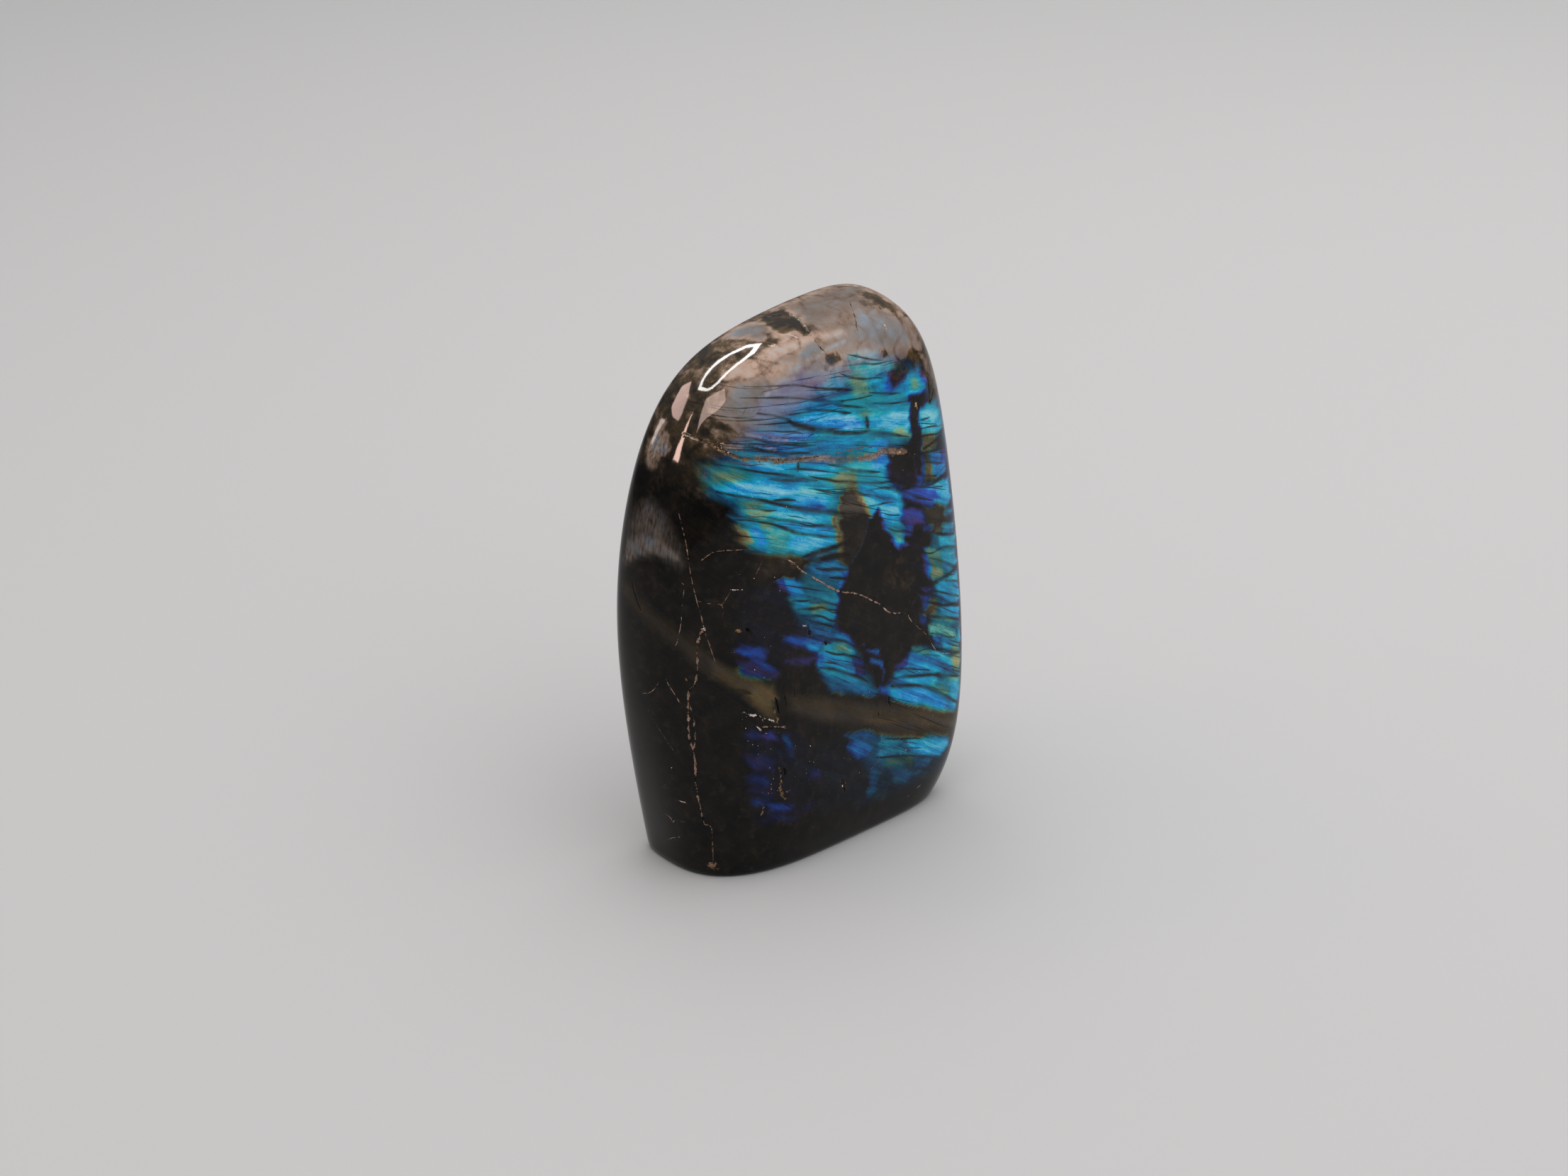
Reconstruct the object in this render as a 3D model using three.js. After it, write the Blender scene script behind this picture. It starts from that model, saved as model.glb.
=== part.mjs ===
// A polished labradorite: one freestanding stone, lapped by hand to soft flats and sawn level underneath.
// Millimetres, +Z up. X runs along the wide face, which looks towards -Y, and Z = 0 is the sawn base.
import * as THREE from "three";
import { mergeVertices } from "three/addons/utils/BufferGeometryUtils.js";

// Driving dimensions
const WIDTH = 88;
const DEPTH = 39;
const HEIGHT = 120;

// The heart is the point inside the stone that the distance of every flat is measured from.
const HEART = new THREE.Vector3(3.7, 1.4, 58);

// How crisply one flat turns into the next: about 2 makes an egg, 7 a hand-lapped stone, 40 a cut gem.
const CRISPNESS = 7;

// The flats that the stone was lapped to.
// Each has the compass angle that it faces (0 is +X, 90 is +Y), its tilt upwards, and its distance from the heart.
const FLATS = {
  wideFace: { faces: -90, tilt: 7, distance: 16.5 },
  wideFaceRight: { faces: -60, tilt: 8, distance: 34 },
  wideFaceFoot: { faces: -90, tilt: -28, distance: 44 },
  flankRidge: { faces: -125, tilt: 5, distance: 31.5 },
  leftFlank: { faces: 180, tilt: 16, distance: 53.5 },
  leftFoot: { faces: 170, tilt: -10, distance: 51.5 },
  leftShoulder: { faces: 180, tilt: 29, distance: 58.5 },
  crownSlope: { faces: 175, tilt: 74, distance: 66 },
  crownTop: { faces: 190, tilt: 88, distance: 74 },
  crownFront: { faces: -90, tilt: 50, distance: 51.5 },
  crownBack: { faces: 90, tilt: 41, distance: 61.5 },
  rightShoulder: { faces: 0, tilt: 25, distance: 64 },
  rightEdge: { faces: 0, tilt: 3, distance: 41.5 },
  rightFoot: { faces: 0, tilt: -17, distance: 48 },
  backFace: { faces: 90, tilt: -1, distance: 17.5 },
  backFoot: { faces: 90, tilt: -14, distance: 40 },
};

// Cells of the net that is drawn over the stone, and the height over which it is gathered in to the base.
const CELLS_ACROSS = 26;
const CELLS_DEEP = 13;
const CELLS_UP = 36;
const GATHER_HEIGHT = 60;

// Halvings in the search for the rim of the base, which end far below a thousandth of a millimetre.
const RIM_HALVINGS = 30;

// The direction that a flat faces, as a unit vector.
function facing({ faces, tilt }) {
  const inclination = THREE.MathUtils.degToRad(90 - tilt);
  const compass = THREE.MathUtils.degToRad(faces);
  return new THREE.Vector3(
    Math.sin(inclination) * Math.cos(compass),
    Math.sin(inclination) * Math.sin(compass),
    Math.cos(inclination),
  );
}

const lappedFlats = Object.values(FLATS).map((flat) => ({
  normal: facing(flat),
  distance: flat.distance,
}));

// How far out a point lies, measured from the heart: 1 is on the stone's surface, less is inside it.
function reach(fromHeart) {
  let sum = 0;
  for (const { normal, distance } of lappedFlats) {
    sum += Math.max(0, normal.dot(fromHeart) / distance) ** CRISPNESS;
  }
  return sum ** (1 / CRISPNESS);
}

// Straight out from the heart through a point, as far as the surface.
function ontoSurface(point) {
  const fromHeart = point.clone().sub(HEART);
  return fromHeart.divideScalar(reach(fromHeart)).add(HEART);
}

// The share of the way from below the heart to a corner of the base plane at which the stone's base ends.
function rimShare(x, y) {
  let inside = 0;
  let outside = 1;
  for (let i = 0; i < RIM_HALVINGS; i += 1) {
    const share = (inside + outside) / 2;
    const probe = new THREE.Vector3(x - HEART.x, y - HEART.y, 0);
    probe.multiplyScalar(share).setZ(-HEART.z);
    if (reach(probe) < 1) {
      inside = share;
    } else {
      outside = share;
    }
  }
  return inside;
}

// A point of the plane Z = 0, drawn in towards the point below the heart.
function drawnIn(x, y, share) {
  const towards = (value, heart) => heart + share * (value - heart);
  return new THREE.Vector3(towards(x, HEART.x), towards(y, HEART.y), 0);
}

// Where a point of the plain block goes on the stone.
function lapped(point) {
  const outwards = Math.max(Math.abs(point.x) / (WIDTH / 2), Math.abs(point.y) / (DEPTH / 2));
  if (outwards === 0) {
    return point.z > 0 ? ontoSurface(point) : point;
  }
  const edgeX = point.x / outwards;
  const edgeY = point.y / outwards;
  const share = rimShare(edgeX, edgeY);
  if (point.z === 0) {
    return drawnIn(edgeX, edgeY, share).multiplyScalar(outwards);
  }
  const gather = THREE.MathUtils.smoothstep(point.z, 0, GATHER_HEIGHT);
  const spread = THREE.MathUtils.lerp(share, 1, gather);
  return ontoSurface(drawnIn(point.x, point.y, spread).setZ(point.z));
}

// The stone: a block of even cells that stands on the base plane, with every corner of its net moved onto the surface.
function stoneGeometry() {
  const block = new THREE.BoxGeometry(WIDTH, DEPTH, HEIGHT, CELLS_ACROSS, CELLS_DEEP, CELLS_UP);
  block.translate(0, 0, HEIGHT / 2);
  block.deleteAttribute("normal");
  block.deleteAttribute("uv");
  const net = mergeVertices(block);
  const corners = net.getAttribute("position");
  const corner = new THREE.Vector3();
  for (let i = 0; i < corners.count; i += 1) {
    corner.fromBufferAttribute(corners, i);
    const moved = lapped(corner);
    corners.setXYZ(i, moved.x, moved.y, moved.z);
  }
  net.computeVertexNormals();
  return net;
}

// Dark olive-brown feldspar under a glassy hand polish.
const polishedLabradorite = new THREE.MeshStandardMaterial({
  color: 0x2f2d29,
  roughness: 0.12,
  metalness: 0,
});

const stone = new THREE.Mesh(stoneGeometry(), polishedLabradorite);
stone.name = "labradorite_stone";

const labradorite = new THREE.Group();
labradorite.add(stone);

export default labradorite;
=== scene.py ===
"""A polished labradorite: its lapped skin, its flashes, sheets and seams, and the light that it stands in.

Lengths in the tables are millimetres in the stone's own frame: X along the wide face, -Y out of that face, Z up.
"""
import math
import bmesh
import bpy
import numpy as np
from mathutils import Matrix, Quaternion, Vector, noise
from mathutils.bvhtree import BVHTree


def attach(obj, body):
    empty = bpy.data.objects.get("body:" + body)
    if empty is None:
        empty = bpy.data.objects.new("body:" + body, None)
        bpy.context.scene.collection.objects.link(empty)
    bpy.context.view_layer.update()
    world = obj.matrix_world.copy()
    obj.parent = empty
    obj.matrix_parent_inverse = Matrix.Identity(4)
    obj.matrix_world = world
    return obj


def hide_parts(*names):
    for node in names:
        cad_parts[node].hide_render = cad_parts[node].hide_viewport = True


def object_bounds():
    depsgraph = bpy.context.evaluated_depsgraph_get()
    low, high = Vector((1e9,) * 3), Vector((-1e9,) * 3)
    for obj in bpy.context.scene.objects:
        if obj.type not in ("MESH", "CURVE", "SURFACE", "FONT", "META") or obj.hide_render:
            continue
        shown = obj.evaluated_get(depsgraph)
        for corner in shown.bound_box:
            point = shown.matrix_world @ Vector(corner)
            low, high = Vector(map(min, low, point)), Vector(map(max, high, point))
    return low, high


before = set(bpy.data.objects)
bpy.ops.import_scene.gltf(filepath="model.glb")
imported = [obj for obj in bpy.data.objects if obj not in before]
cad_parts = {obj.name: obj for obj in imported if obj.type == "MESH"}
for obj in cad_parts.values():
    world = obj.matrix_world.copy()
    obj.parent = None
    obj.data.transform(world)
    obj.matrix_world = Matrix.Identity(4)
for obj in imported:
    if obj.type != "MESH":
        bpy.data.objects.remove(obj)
cad_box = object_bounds()

MM = 0.001
STONE_NODE = "labradorite_stone"

# The lapped shape: the same flats as in the solid, by compass angle, upward tilt and distance from the heart
HEART = (3.7, 1.4, 58.0)
CRISPNESS = 7.0
RIM_CRISPNESS = 120.0
SKIN_GAP = 0.03
FLATS = {
    "wide face": (-90, 7, 16.5),
    "wide face, right": (-60, 8, 34),
    "wide face, foot": (-90, -28, 44),
    "flank ridge": (-125, 5, 31.5),
    "left flank": (180, 16, 53.5),
    "left foot": (170, -10, 51.5),
    "left shoulder": (180, 29, 58.5),
    "crown slope": (175, 74, 66),
    "crown top": (190, 88, 74),
    "crown front": (-90, 50, 51.5),
    "crown back": (90, 41, 61.5),
    "right shoulder": (0, 25, 64),
    "right edge": (0, 3, 41.5),
    "right foot": (0, -17, 48),
    "back face": (90, -1, 17.5),
    "back foot": (90, -14, 40),
}

# The sawn block that the skin is lapped from, and how many cells it starts with
BLOCK = (88.0, 39.0, 120.0)
BLOCK_CELLS = (74, 32, 100)

# The stone grew in thin sheets. A sheet's height rises towards +Y and falls towards +X, less so further up: the ease
# is what the fall has lost 100 mm above the base, and grows with the cube of the height.
SHEET_FALL = 0.57
SHEET_FALL_EASE = 0.44
SHEET_RISE = 0.73

# Where cells are split along grooves: how near, down to which spacing, and from which depth on
SPLITS = ((0.9, 0.8, 0.0), (0.5, 0.45, 0.09), (0.25, 0.26, 0.28))

# Each side's drawing: which way across and up it is read, and which way it is looked at
SIDES = {
    "front": ((0, 2), (0, 1, 0)),
    "back": ((0, 2), (0, -1, 0)),
    "flank": ((1, 2), (1, 0, 0)),
    "right": ((1, 2), (-1, 0, 0)),
    "crown": ((0, 1), (0, 0, -1)),
}
FAR_OFF = 200.0

# Flashes, painted over one another in this order: side, tone, strength, how far the edge fades, and the outline.
# Tones run from 0 unlit through 1 violet, 1.7 royal blue, 2.3 azure, 2.8 cyan, 3.3 teal, 3.9 green and 4.5 gold
# to 5.1 tan and 6 brown. A strength over 1 is a place where the flash turns pale.
FLASHES = (
    # Faint deep blue under the dark places of the left and the foot
    ("front", 1.7, .014, 3.0, "-30,66 -22,68 -15,62 -13,56 -16,50 -24,50 -30,56"),
    ("front", 1.8, .016, 3.0, "-31,34 -22,34 -16,30 -14,22 -20,14 -30,14"),
    ("front", 2.4, .012, 3.0, "-12,28 0,26 4,16 0,10 -12,12 -16,20"),
    # Ground of the upper wide face
    ("front", 2.85, .55, 2.2, "-31,94 -25,99 -20,104 -12,108.5 0,110.5 12,110 20,107.5 29,104.5 31,100 30,97 24.5,97.5 "
     "23.8,91 22.5,89.5 15,88.5 16,86 15,81 19,78.5 19,72 17,66 15,66 12.5,72 11.5,75 9.5,76 7.5,78.5 5,82 2,83.2 "
     "-1,82 -1.5,78 -1,74 -2,71.8 -12,72 -17,72.6 -22,74.3 -26,77 -28,81 -28.5,84 -28,86.5 -31.5,89 -32,92"),
    # Grounds of the right strip, the middle and the foot
    ("front", 2.9, .20, 1.7, "30,66 38,66 39,56 38.5,46 38,36 36,28 33,33 29,38 26,43 27,50 28,56 26,62"),
    ("front", 2.95, .20, 2.0, "-17,64 -11,68.5 -4,68 0,66 .4,62 -3,58 -4,54 0,49 1,44 5,36 -4,38 -10,43.5 -12,50 "
     "-14,53 -15,58"),
    ("front", 2.8, .50, 1.7, "14,38 20,40.6 28,38.4 33,37 36,31 36,24 33,21.5 24,25 18,28.6 11,32 11,35"),
    ("front", 2.95, .16, 2.2, "-2,26 6,25 14,22 24,19 31,16.5 31,12 22,11 12,13 3,17"),
    # Upper left, from the shoulder down
    ("front", 1.6, .32, 1.7, "-21,105 -14,108.5 -4,110.2 0,108 -2,106 -12,105.5 -19,104"),
    ("front", 2.2, .72, 1.2, "-19,104.6 -10,104.8 -2,103.5 2,102 4,100.5 -4,101.5 -10,103 -15,103"),
    ("front", 2.7, .68, 1.2, "-3,106.5 4,108.5 7,107.5 5,104.5 0,104 -4,105"),
    ("front", 2.45, 1.25, .7, "-11.5,101.3 -6,101 0,100.2 5,99 8.5,97 9.6,95.2 5,95 0,96.8 -4,98 -8,99.3 -11,100.5"),
    ("front", 1.95, .77, 1.0, "-23,100.6 -18,100 -13,99 -9,98 -5,96.6 -8,95.6 -13,96.6 -18,98 -22,99.5"),
    ("front", 2.15, 1.04, .9, "-22,98.2 -19,97.7 -15,96.3 -11,95.2 -9,94 -13,94.8 -17,95.6 -21,97"),
    ("front", 2.4, .68, 1.0, "-9,95.6 -3,95.5 4,94 8,93 6,92 0,92.6 -6,93.6"),
    ("front", 2.6, .99, 1.0, "-26,94.3 -22,94 -17,93 -13,92.2 -12.5,90.5 -16,91 -21,92 -25,93.3"),
    ("front", 2.3, .63, 1.0, "-11.5,92 -5,91.2 -1,90 -4,89.6 -9,90"),
    ("front", 2.6, .99, .9, "-12,90.3 -6,89.6 0,88.2 1,87.6 -4,87.4 -9,88.3 -13,89.2"),
    ("front", 3.9, .38, 2.2, "-31,93.5 -28,93.8 -25,92 -26,90.8 -30,90.5 -32,91"),
    ("front", 2.7, 1.30, 1.0, "-31,90 -27,91 -22,90.5 -17,89 -12,87.8 -8,87 -6,85.5 -10,84.6 -14,85.6 -18,85.8 "
     "-22,86.6 -26,87.6 -30,88.9"),
    ("front", 3.2, 1.04, 1.2, "-12,87 -6,86.6 -1,85.4 2,84.6 1,82.6 -4,83 -9,84 -13,85"),
    ("front", 4.3, .41, 1.2, "-28,86.8 -25,86.6 -22,85.6 -22,84.8 -26,85.2"),
    ("front", 2.5, .99, .9, "-14,85.3 -9,84.3 -4,82 -5,80 -8,80.6 -12,82 -15,83.4"),
    ("front", 1.9, .72, .7, "-11,82.5 -7,81.6 -5,80.2 -8,80.8"),
    ("front", 2.8, 1.15, .9, "-27,84.5 -24,85 -20,84.3 -16,83 -12,81.3 -8,79.8 -3.5,78.3 -3,77 -6,77.3 -10,78 "
     "-13,79.3 -16,80.6 -20,82 -25,83"),
    ("front", 4.1, .54, 1.5, "-26,84.6 -22,84.2 -20,83 -22,82.3 -26,83.2"),
    ("front", 2.6, 1.04, .9, "-20,80.7 -17,80.4 -13,78.9 -10,77.6 -5,76.4 -3,75.6 -2.5,73.8 -6,74.3 -10,75.6 -14,77 "
     "-17,78.6"),
    ("front", 4.2, .41, 1.3, "-23,81.6 -20,80.5 -20,79.4 -23,80"),
    ("front", 2.0, .94, 1.3, "-27,80.5 -24,80.5 -22.5,78.5 -22,75.2 -24,76.3 -26,78.3"),
    ("front", 5.3, .34, 1.7, "-28.6,81 -26.8,80 -25.6,77.8 -27.5,78"),
    ("front", 3.3, .68, 1.2, "-22,79.4 -18,78.4 -15,77.2 -15,74.5 -18,73.6 -22,74.6"),
    ("front", 2.6, 1.10, .9, "-16,77.4 -13,76.4 -8,74.9 -4,73.6 -2.5,72.6 -4,71.8 -10,72.1 -14,72.6 -17,74"),
    # Upper right
    ("front", 2.9, 1.25, .7, "7,111 14,111 17,109.3 16,108.4 10,109.6"),
    ("front", 3.3, 1.15, 1.0, "8,109.3 14,108.7 21,107.6 22,105.6 14,106 9,107"),
    ("front", 4.1, .64, 1.7, "7.5,106 9,107 11,105.2 13,104.4 13.5,102 11,101 9,101.3 7,103.4"),
    ("front", 3.0, 1.25, .9, "12,104.8 17,104.2 18.6,103 18,101.6 15,102.2 13,103"),
    ("front", 1.9, 1.04, .9, "17.5,103.4 18.8,103.2 19.5,101.6 22,101 22,100.3 18.5,100.4 17,101.8"),
    ("front", .8, .36, .9, "18.8,104.4 21,105 24,105 24.4,103.4 22.4,101.8 20,101.6 19,102.8"),
    ("front", 5.1, .20, 1.2, "21,105.4 24,105.2 24.4,104 22,103.6"),
    ("front", 2.7, 1.15, 1.0, "22.5,102.6 25,102.8 29,102.6 30,101 30.5,99 26,98 23,98.4 22,100.4"),
    ("front", 4.4, .68, 1.7, "26,101.6 28.4,101.8 29,99.6 27,98.8 25.6,100"),
    ("front", 1.3, .72, .7, "30,102.6 32,102.2 32,99.6 30.4,99.8"),
    ("front", 3.1, .68, 1.0, "4,102.4 9,101.4 14,100.8 20,99.8 24,98.6 24,97.6 18,98.4 10,100 4,101"),
    ("front", 2.9, .77, .9, "10,99 14,99.4 20,98 24.6,97 24,95.8 17,96.6 11,97.4"),
    ("front", 3.6, .36, .9, "8,99 11,98.6 10.5,96.9 8,97.6"),
    ("front", 2.75, 1.30, .9, "11,96.8 16,96.2 24,95.4 24.2,92 23,90.8 19,92 15,93 11,94.2"),
    ("front", 4.2, .64, 1.3, "18.5,92 21,92.2 24,89.8 21.5,90 19,91"),
    ("front", 2.35, 1.04, .7, "9.5,92 13,91.4 16,90.4 15.5,89.2 12.5,89.2 10,90.4"),
    ("front", 3.6, .45, .9, "3,91 8,90 11,89.2 9,88.6 3,89.6"),
    ("front", 3.0, .77, .9, "0,88.4 5,88.6 9,87.8 12,87.6 13,85 9,85.2 5,86.2 2,87.2"),
    ("front", 2.3, .99, .9, "12,87.2 13.5,88.6 16,88.1 15.8,86.8 14.5,84.2 11.5,84.6 10.8,85.6"),
    ("front", 4.0, .47, 1.3, ".5,87.4 4,86.2 6,85 5,83.4 2,83.6 -1,84.6 -3,85.8"),
    ("front", 2.9, .72, .9, "5,85.6 9,85 13,84 15,82 14,81.4 9,82.2 5.6,83.4"),
    ("front", 4.2, .54, 1.2, "-2,85 2,84.2 4.8,83 6.6,80 8.4,76.6 9,75 8,75.4 6.6,77.6 5,80.6 3.6,82 -1,83.2"),
    ("front", 2.65, 1.10, .9, "5.8,82.6 9,81.8 13,80.6 16,79.6 18,77.4 17,76 13,76.6 9.6,76.6 7.6,79"),
    ("front", 3.1, .77, 1.2, "11.8,76 14,76.4 18.4,76.6 19,73 18,70 15,70.4 12.6,72.6"),
    ("front", 2.4, .72, .9, "12,75 13.5,74.5 14.6,70.4 13,71.6 12,73"),
    ("front", 3.4, .54, .9, "14,70 19,69.8 20,68.6 18,66 15.4,66 14.4,68"),
    ("front", 2.1, .94, .7, "14.6,68 16.5,67 17.6,66.4 16,65.6 15,66.2"),
    ("front", 1.3, .54, .7, "17.5,66.6 20,66 19.6,65 17.6,65.4"),
    # Right of the dark band
    ("front", 2.95, 1.12, 1.2, "27.5,94.6 31,94.8 35,94 37,91 36.8,88 32,88 28,89.4"),
    ("front", 3.3, .45, .9, "32,95.8 36,95 36,94 33,94.8"),
    ("front", 4.9, .31, 1.7, "27,87.6 31,87.8 33,86 30,84 27.5,85"),
    ("front", 2.4, .85, 1.0, "30.5,84 34,83.6 35,81.5 37,80.4 37,77.8 33,77.8 30,79.4 31,81.4"),
    ("front", 1.2, .63, .9, "34.4,83.6 37.4,83.4 37,80.6 34.8,81.4"),
    ("front", 1.7, .45, 1.0, "24,84.4 28,83.6 28,80 26,77.8 24.2,80.4"),
    ("front", 4.8, .31, 1.2, "28,82.2 30,82 31,78.4 28.4,78.6"),
    ("front", 1.9, .77, .9, "20,77.8 24,77.7 28,76.9 31,76 30,74.4 26,74.4 22.6,75.9"),
    ("front", 2.5, .81, .9, "26,77.2 31,76.2 31,74.6 27,75"),
    ("front", 2.85, 1.03, .9, "29,76.8 34,76.6 37,76 37.6,73 37,70.6 35,70.4 31,72.4 28,74"),
    ("front", 1.35, .54, .9, "20,73 23,72.6 25.4,71.6 25,70.2 21.5,70.6 19.6,71.8"),
    ("front", 1.6, .54, .7, "18.5,69 21,69.6 23,68.8 21,67.6 19,67.8"),
    ("front", 1.8, .39, .7, "25.6,68.4 28.6,67.8 28.4,66.6 26,67.2"),
    ("front", 2.8, .70, .7, "34,69.6 37.6,68.6 37.8,67.4 35,67.8"),
    ("front", 2.9, .66, .7, "32.6,66.4 37.8,66.2 38,63.6 35,63.8 33,64.8"),
    ("front", 5.3, .15, 2.2, "27,72.5 31,71 33.5,69 31,66.6 27,69.6"),
    # Right strip, middle height
    ("front", 2.8, .74, .9, "32,64 38,62.6 37.8,60 33,61 31.4,62.6"),
    ("front", 3.6, .47, 1.2, "25,62.6 29,62 32,60.4 33,58 30.6,55.8 27.6,55.6 27.6,58 26.4,60"),
    ("front", 2.75, .74, .9, "31.4,60.6 37.6,59.4 38,55.6 34,55.2 32,57"),
    ("front", 2.1, .62, .7, "23.6,62.2 25.4,61.6 27.4,56.4 26.2,55.4 25,57.6 23.8,60.4"),
    ("front", 4.3, .35, 1.2, "25.6,62 26.4,61.8 28,57.6 27.2,56.4"),
    ("front", 4.2, .35, 1.2, "28,56.6 31,55.4 30,54.8 27.8,55.2"),
    ("front", 2.7, .86, .9, "28.2,53.6 31,54 38,54 38,47 34,48 31,50 29,51.6"),
    ("front", 2.7, .82, .9, "28.6,47.9 31,48.2 36,46.4 38,45.4 37.8,43 34,43.8 30,45.8"),
    ("front", 3.5, .43, .7, "26.4,47 29,46.4 33,44.6 36,42.6 33,43 28,45.2"),
    ("front", 3.6, 1.01, .9, "25,45 28.6,44.4 33,42 35,40 33.6,38.6 30.6,40 27,41.8 25.2,43.4"),
    ("front", 2.1, .47, .7, "26,41.8 29,41 29.5,39.6 27,39.6"),
    ("front", 2.8, .82, .9, "29,40.6 33,39 36,38.6 37.6,41.4 37.8,38 36.6,35 34,36 30,37.8"),
    ("front", 4.2, .61, 1.3, "33,38 36,37 36.6,34 37,32.6 36,30.6 34,31 32.2,33.6 33,35.6"),
    ("front", 1.8, .47, .7, "22,54.8 25,54.6 26.6,53.4 24,53.4"),
    ("front", 1.9, .39, .9, "22.4,52.6 25.6,52 26,50 24,49 22.6,50"),
    ("front", 2.0, .32, .7, "21.8,48 24.6,47.2 24,45.6 22,46.2"),
    ("front", 5.2, .23, 1.2, "25.6,50.4 28,50 27.6,47.4 25,48"),
    # Lower right
    ("front", 1.3, .54, .7, "13,38.8 16,39.8 17.6,39 17,37.4 14.4,37.4"),
    ("front", 2.6, .84, .7, "17.6,40.6 20,40.2 26,38 30,36 32.6,34 32.4,31.6 30,32 26,33.6 20,36 15.5,37.2 16.6,38.6"),
    ("front", 3.6, .45, .7, "18.4,41.4 21,40.6 25,39.4 24,38.6 20,39.8"),
    ("front", 2.3, .72, .7, "11.8,36.4 15,36.2 20,34.8 20,33.6 15,34.6 12.6,35.2"),
    ("front", 2.5, .81, .9, "16,35.4 22,33.6 27,31.6 26.6,29.4 23,30.8 18,33"),
    ("front", 3.4, 1.17, .4, "24.6,31.8 26.4,31.4 26.2,30.6 24.8,30.8"),
    ("front", 2.35, .95, .9, "10.6,33.6 14,33.2 20,31.6 24,29 28,26.6 32,23.4 34,21.6 30,22.6 25,24.6 20,27.6 "
     "14,30.6 12,31.4"),
    ("front", 3.6, .54, .9, "23.6,30.6 28,29.6 31,28 30.8,26 27,27.8"),
    ("front", 2.75, .97, .9, "31.6,29.6 35,29 35.6,27 34.6,23 33.4,22.2 31.6,24.6"),
    ("front", 4.0, .41, 1.2, "30.6,30.6 36,29.4 36,28.6 31,29.8"),
    # Middle of the wide face
    ("front", 3.1, .36, .9, "-12,69.2 -9,70.6 -4,70.8 -1,70.3 -1,69.4 -6,69.8"),
    ("front", 4.6, .27, 1.2, "-2,70 0,69.8 -.4,68.6 -2,69"),
    ("front", 2.65, .59, .9, "-11,68.9 -7,68.6 -3,67.4 -1,66 .4,64.8 0,63.2 -2,63.6 -5,64.6 -8,66 -9.6,67.4"),
    ("front", 1.9, .59, .7, "-2,65 .8,64.6 .2,63 -1.6,63.6"),
    ("front", 2.2, .53, .4, "-4.6,63.2 -2,62.8 -1,61.8 -3,62"),
    ("front", 2.3, .66, .7, "-19,67.8 -16.6,67.2 -14,65.4 -13.2,63.4 -15,62.6 -17.6,64.8 -19,66"),
    ("front", 1.3, .46, .7, "-21,67.6 -19.2,67.6 -19,65.8 -20.6,66"),
    ("front", 3.0, .43, 1.2, "-17,63.6 -13,63 -8,62.4 -6,60.6 -3.6,59.6 -4,56 -6,55.4 -10,55.6 -13,57.4 -15,59.4 "
     "-16.6,61.4"),
    ("front", 4.2, .27, 1.2, "-12,59.6 -8,59.2 -7,57.8 -11,58"),
    ("front", 2.3, .53, .7, "-16,61.6 -12,60.8 -12,60 -15,60.4"),
    ("front", 2.8, .56, .7, "-8,60.6 -4,59.9 -3.4,58.6 -6,58.8"),
    ("front", 2.6, .56, .7, "-13,57.2 -10,56.8 -7,55 -9,55"),
    ("front", 2.7, .53, .7, "-7,57.2 -4.4,56.2 -5,55.4 -8,56.6"),
    ("front", 2.55, .71, .7, "-12.4,55.2 -10,54.6 -7,53 -6.6,51.4 -8,51.4 -10.6,52.8 -12.2,54"),
    ("front", 1.75, .56, 1.0, "-20.5,54.6 -18,54.8 -15,53.4 -12.6,52.6 -9,51.6 -8.6,50 -11,49.6 -14,51 -17,52.4"),
    ("front", 2.35, .66, .9, "-14.5,52.8 -9,51.4 -9,49.8 -11.6,49.7 -14.6,51.2"),
    ("front", 2.45, .69, .7, "-7,52 -4,51.4 -1,50 -.2,48.6 .4,47.4 -2,48.6 -5,50.2 -7.4,51"),
    ("front", 3.1, .69, .7, "-8.6,49.4 -6,50.2 -3,49.2 -.4,47 0,46 -2,46 -5,47.2 -8,48.4"),
    ("front", 4.15, .47, 1.2, "-5.4,49.4 -3,48.8 -1.6,47 -4,47.2 -5.6,48.2"),
    ("front", 2.65, .76, .7, "-10.6,48.6 -8,48.2 -5,46.8 -1,44.6 0,43 .2,40.8 -2,41.2 -5,43.2 -8,44.8 -11,46.4"),
    ("front", 2.0, .59, .7, "-11.4,47.4 -9.4,48.6 -9.4,45.4 -11,46"),
    ("front", 1.2, .30, .9, "0,44 2.6,42.6 2.4,40.2 .2,40.8"),
    ("front", 2.65, .56, .9, "-10.4,45.2 -7,43.6 -3,41.4 0,39.6 1.6,37.6 4,36 7,34.6 6,33.8 3,34.8 0,36.8 -3,38.8 "
     "-7,41.4 -10,43.6"),
    ("front", 2.8, .33, 1.0, "-10,42.6 -6,40 -4,38.4 -4.6,37.6 -7.6,39.6"),
    ("front", 2.6, .54, .4, "4.4,45.2 8.6,44 8.8,42.8 7,43.4"),
    ("front", 2.4, .50, .4, "4.2,43.4 8.8,41.2 8.6,40.4 5,42"),
    ("front", 1.2, .27, .4, "3,49 8.5,47 8.4,46.6 3,48.4"),
    ("front", 2.0, .32, .3, "8.3,40.4 9,40.2 9.2,36.4 8.5,36.2"),
    ("front", 2.0, .33, .3, "3,47.4 4.4,46.8 4.2,46.2 3,46.8"),
    ("front", 1.8, .50, .7, "8,35.4 11,34 10.6,33 8,34"),
    ("front", 1.5, .20, .9, "6,58.6 9,58 9.6,56.8 7,57"),
    # Lower left, faint
    ("front", 1.6, .49, .9, "-31.4,55 -28,54.6 -25.4,53.6 -24.6,52 -25,51.2 -27,52 -30,53.6"),
    ("front", 1.8, .43, .9, "-28.4,51.8 -25.4,50.6 -23.4,48.4 -22.4,47 -24,47.2 -27,49.6 -28.8,51.2"),
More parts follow.
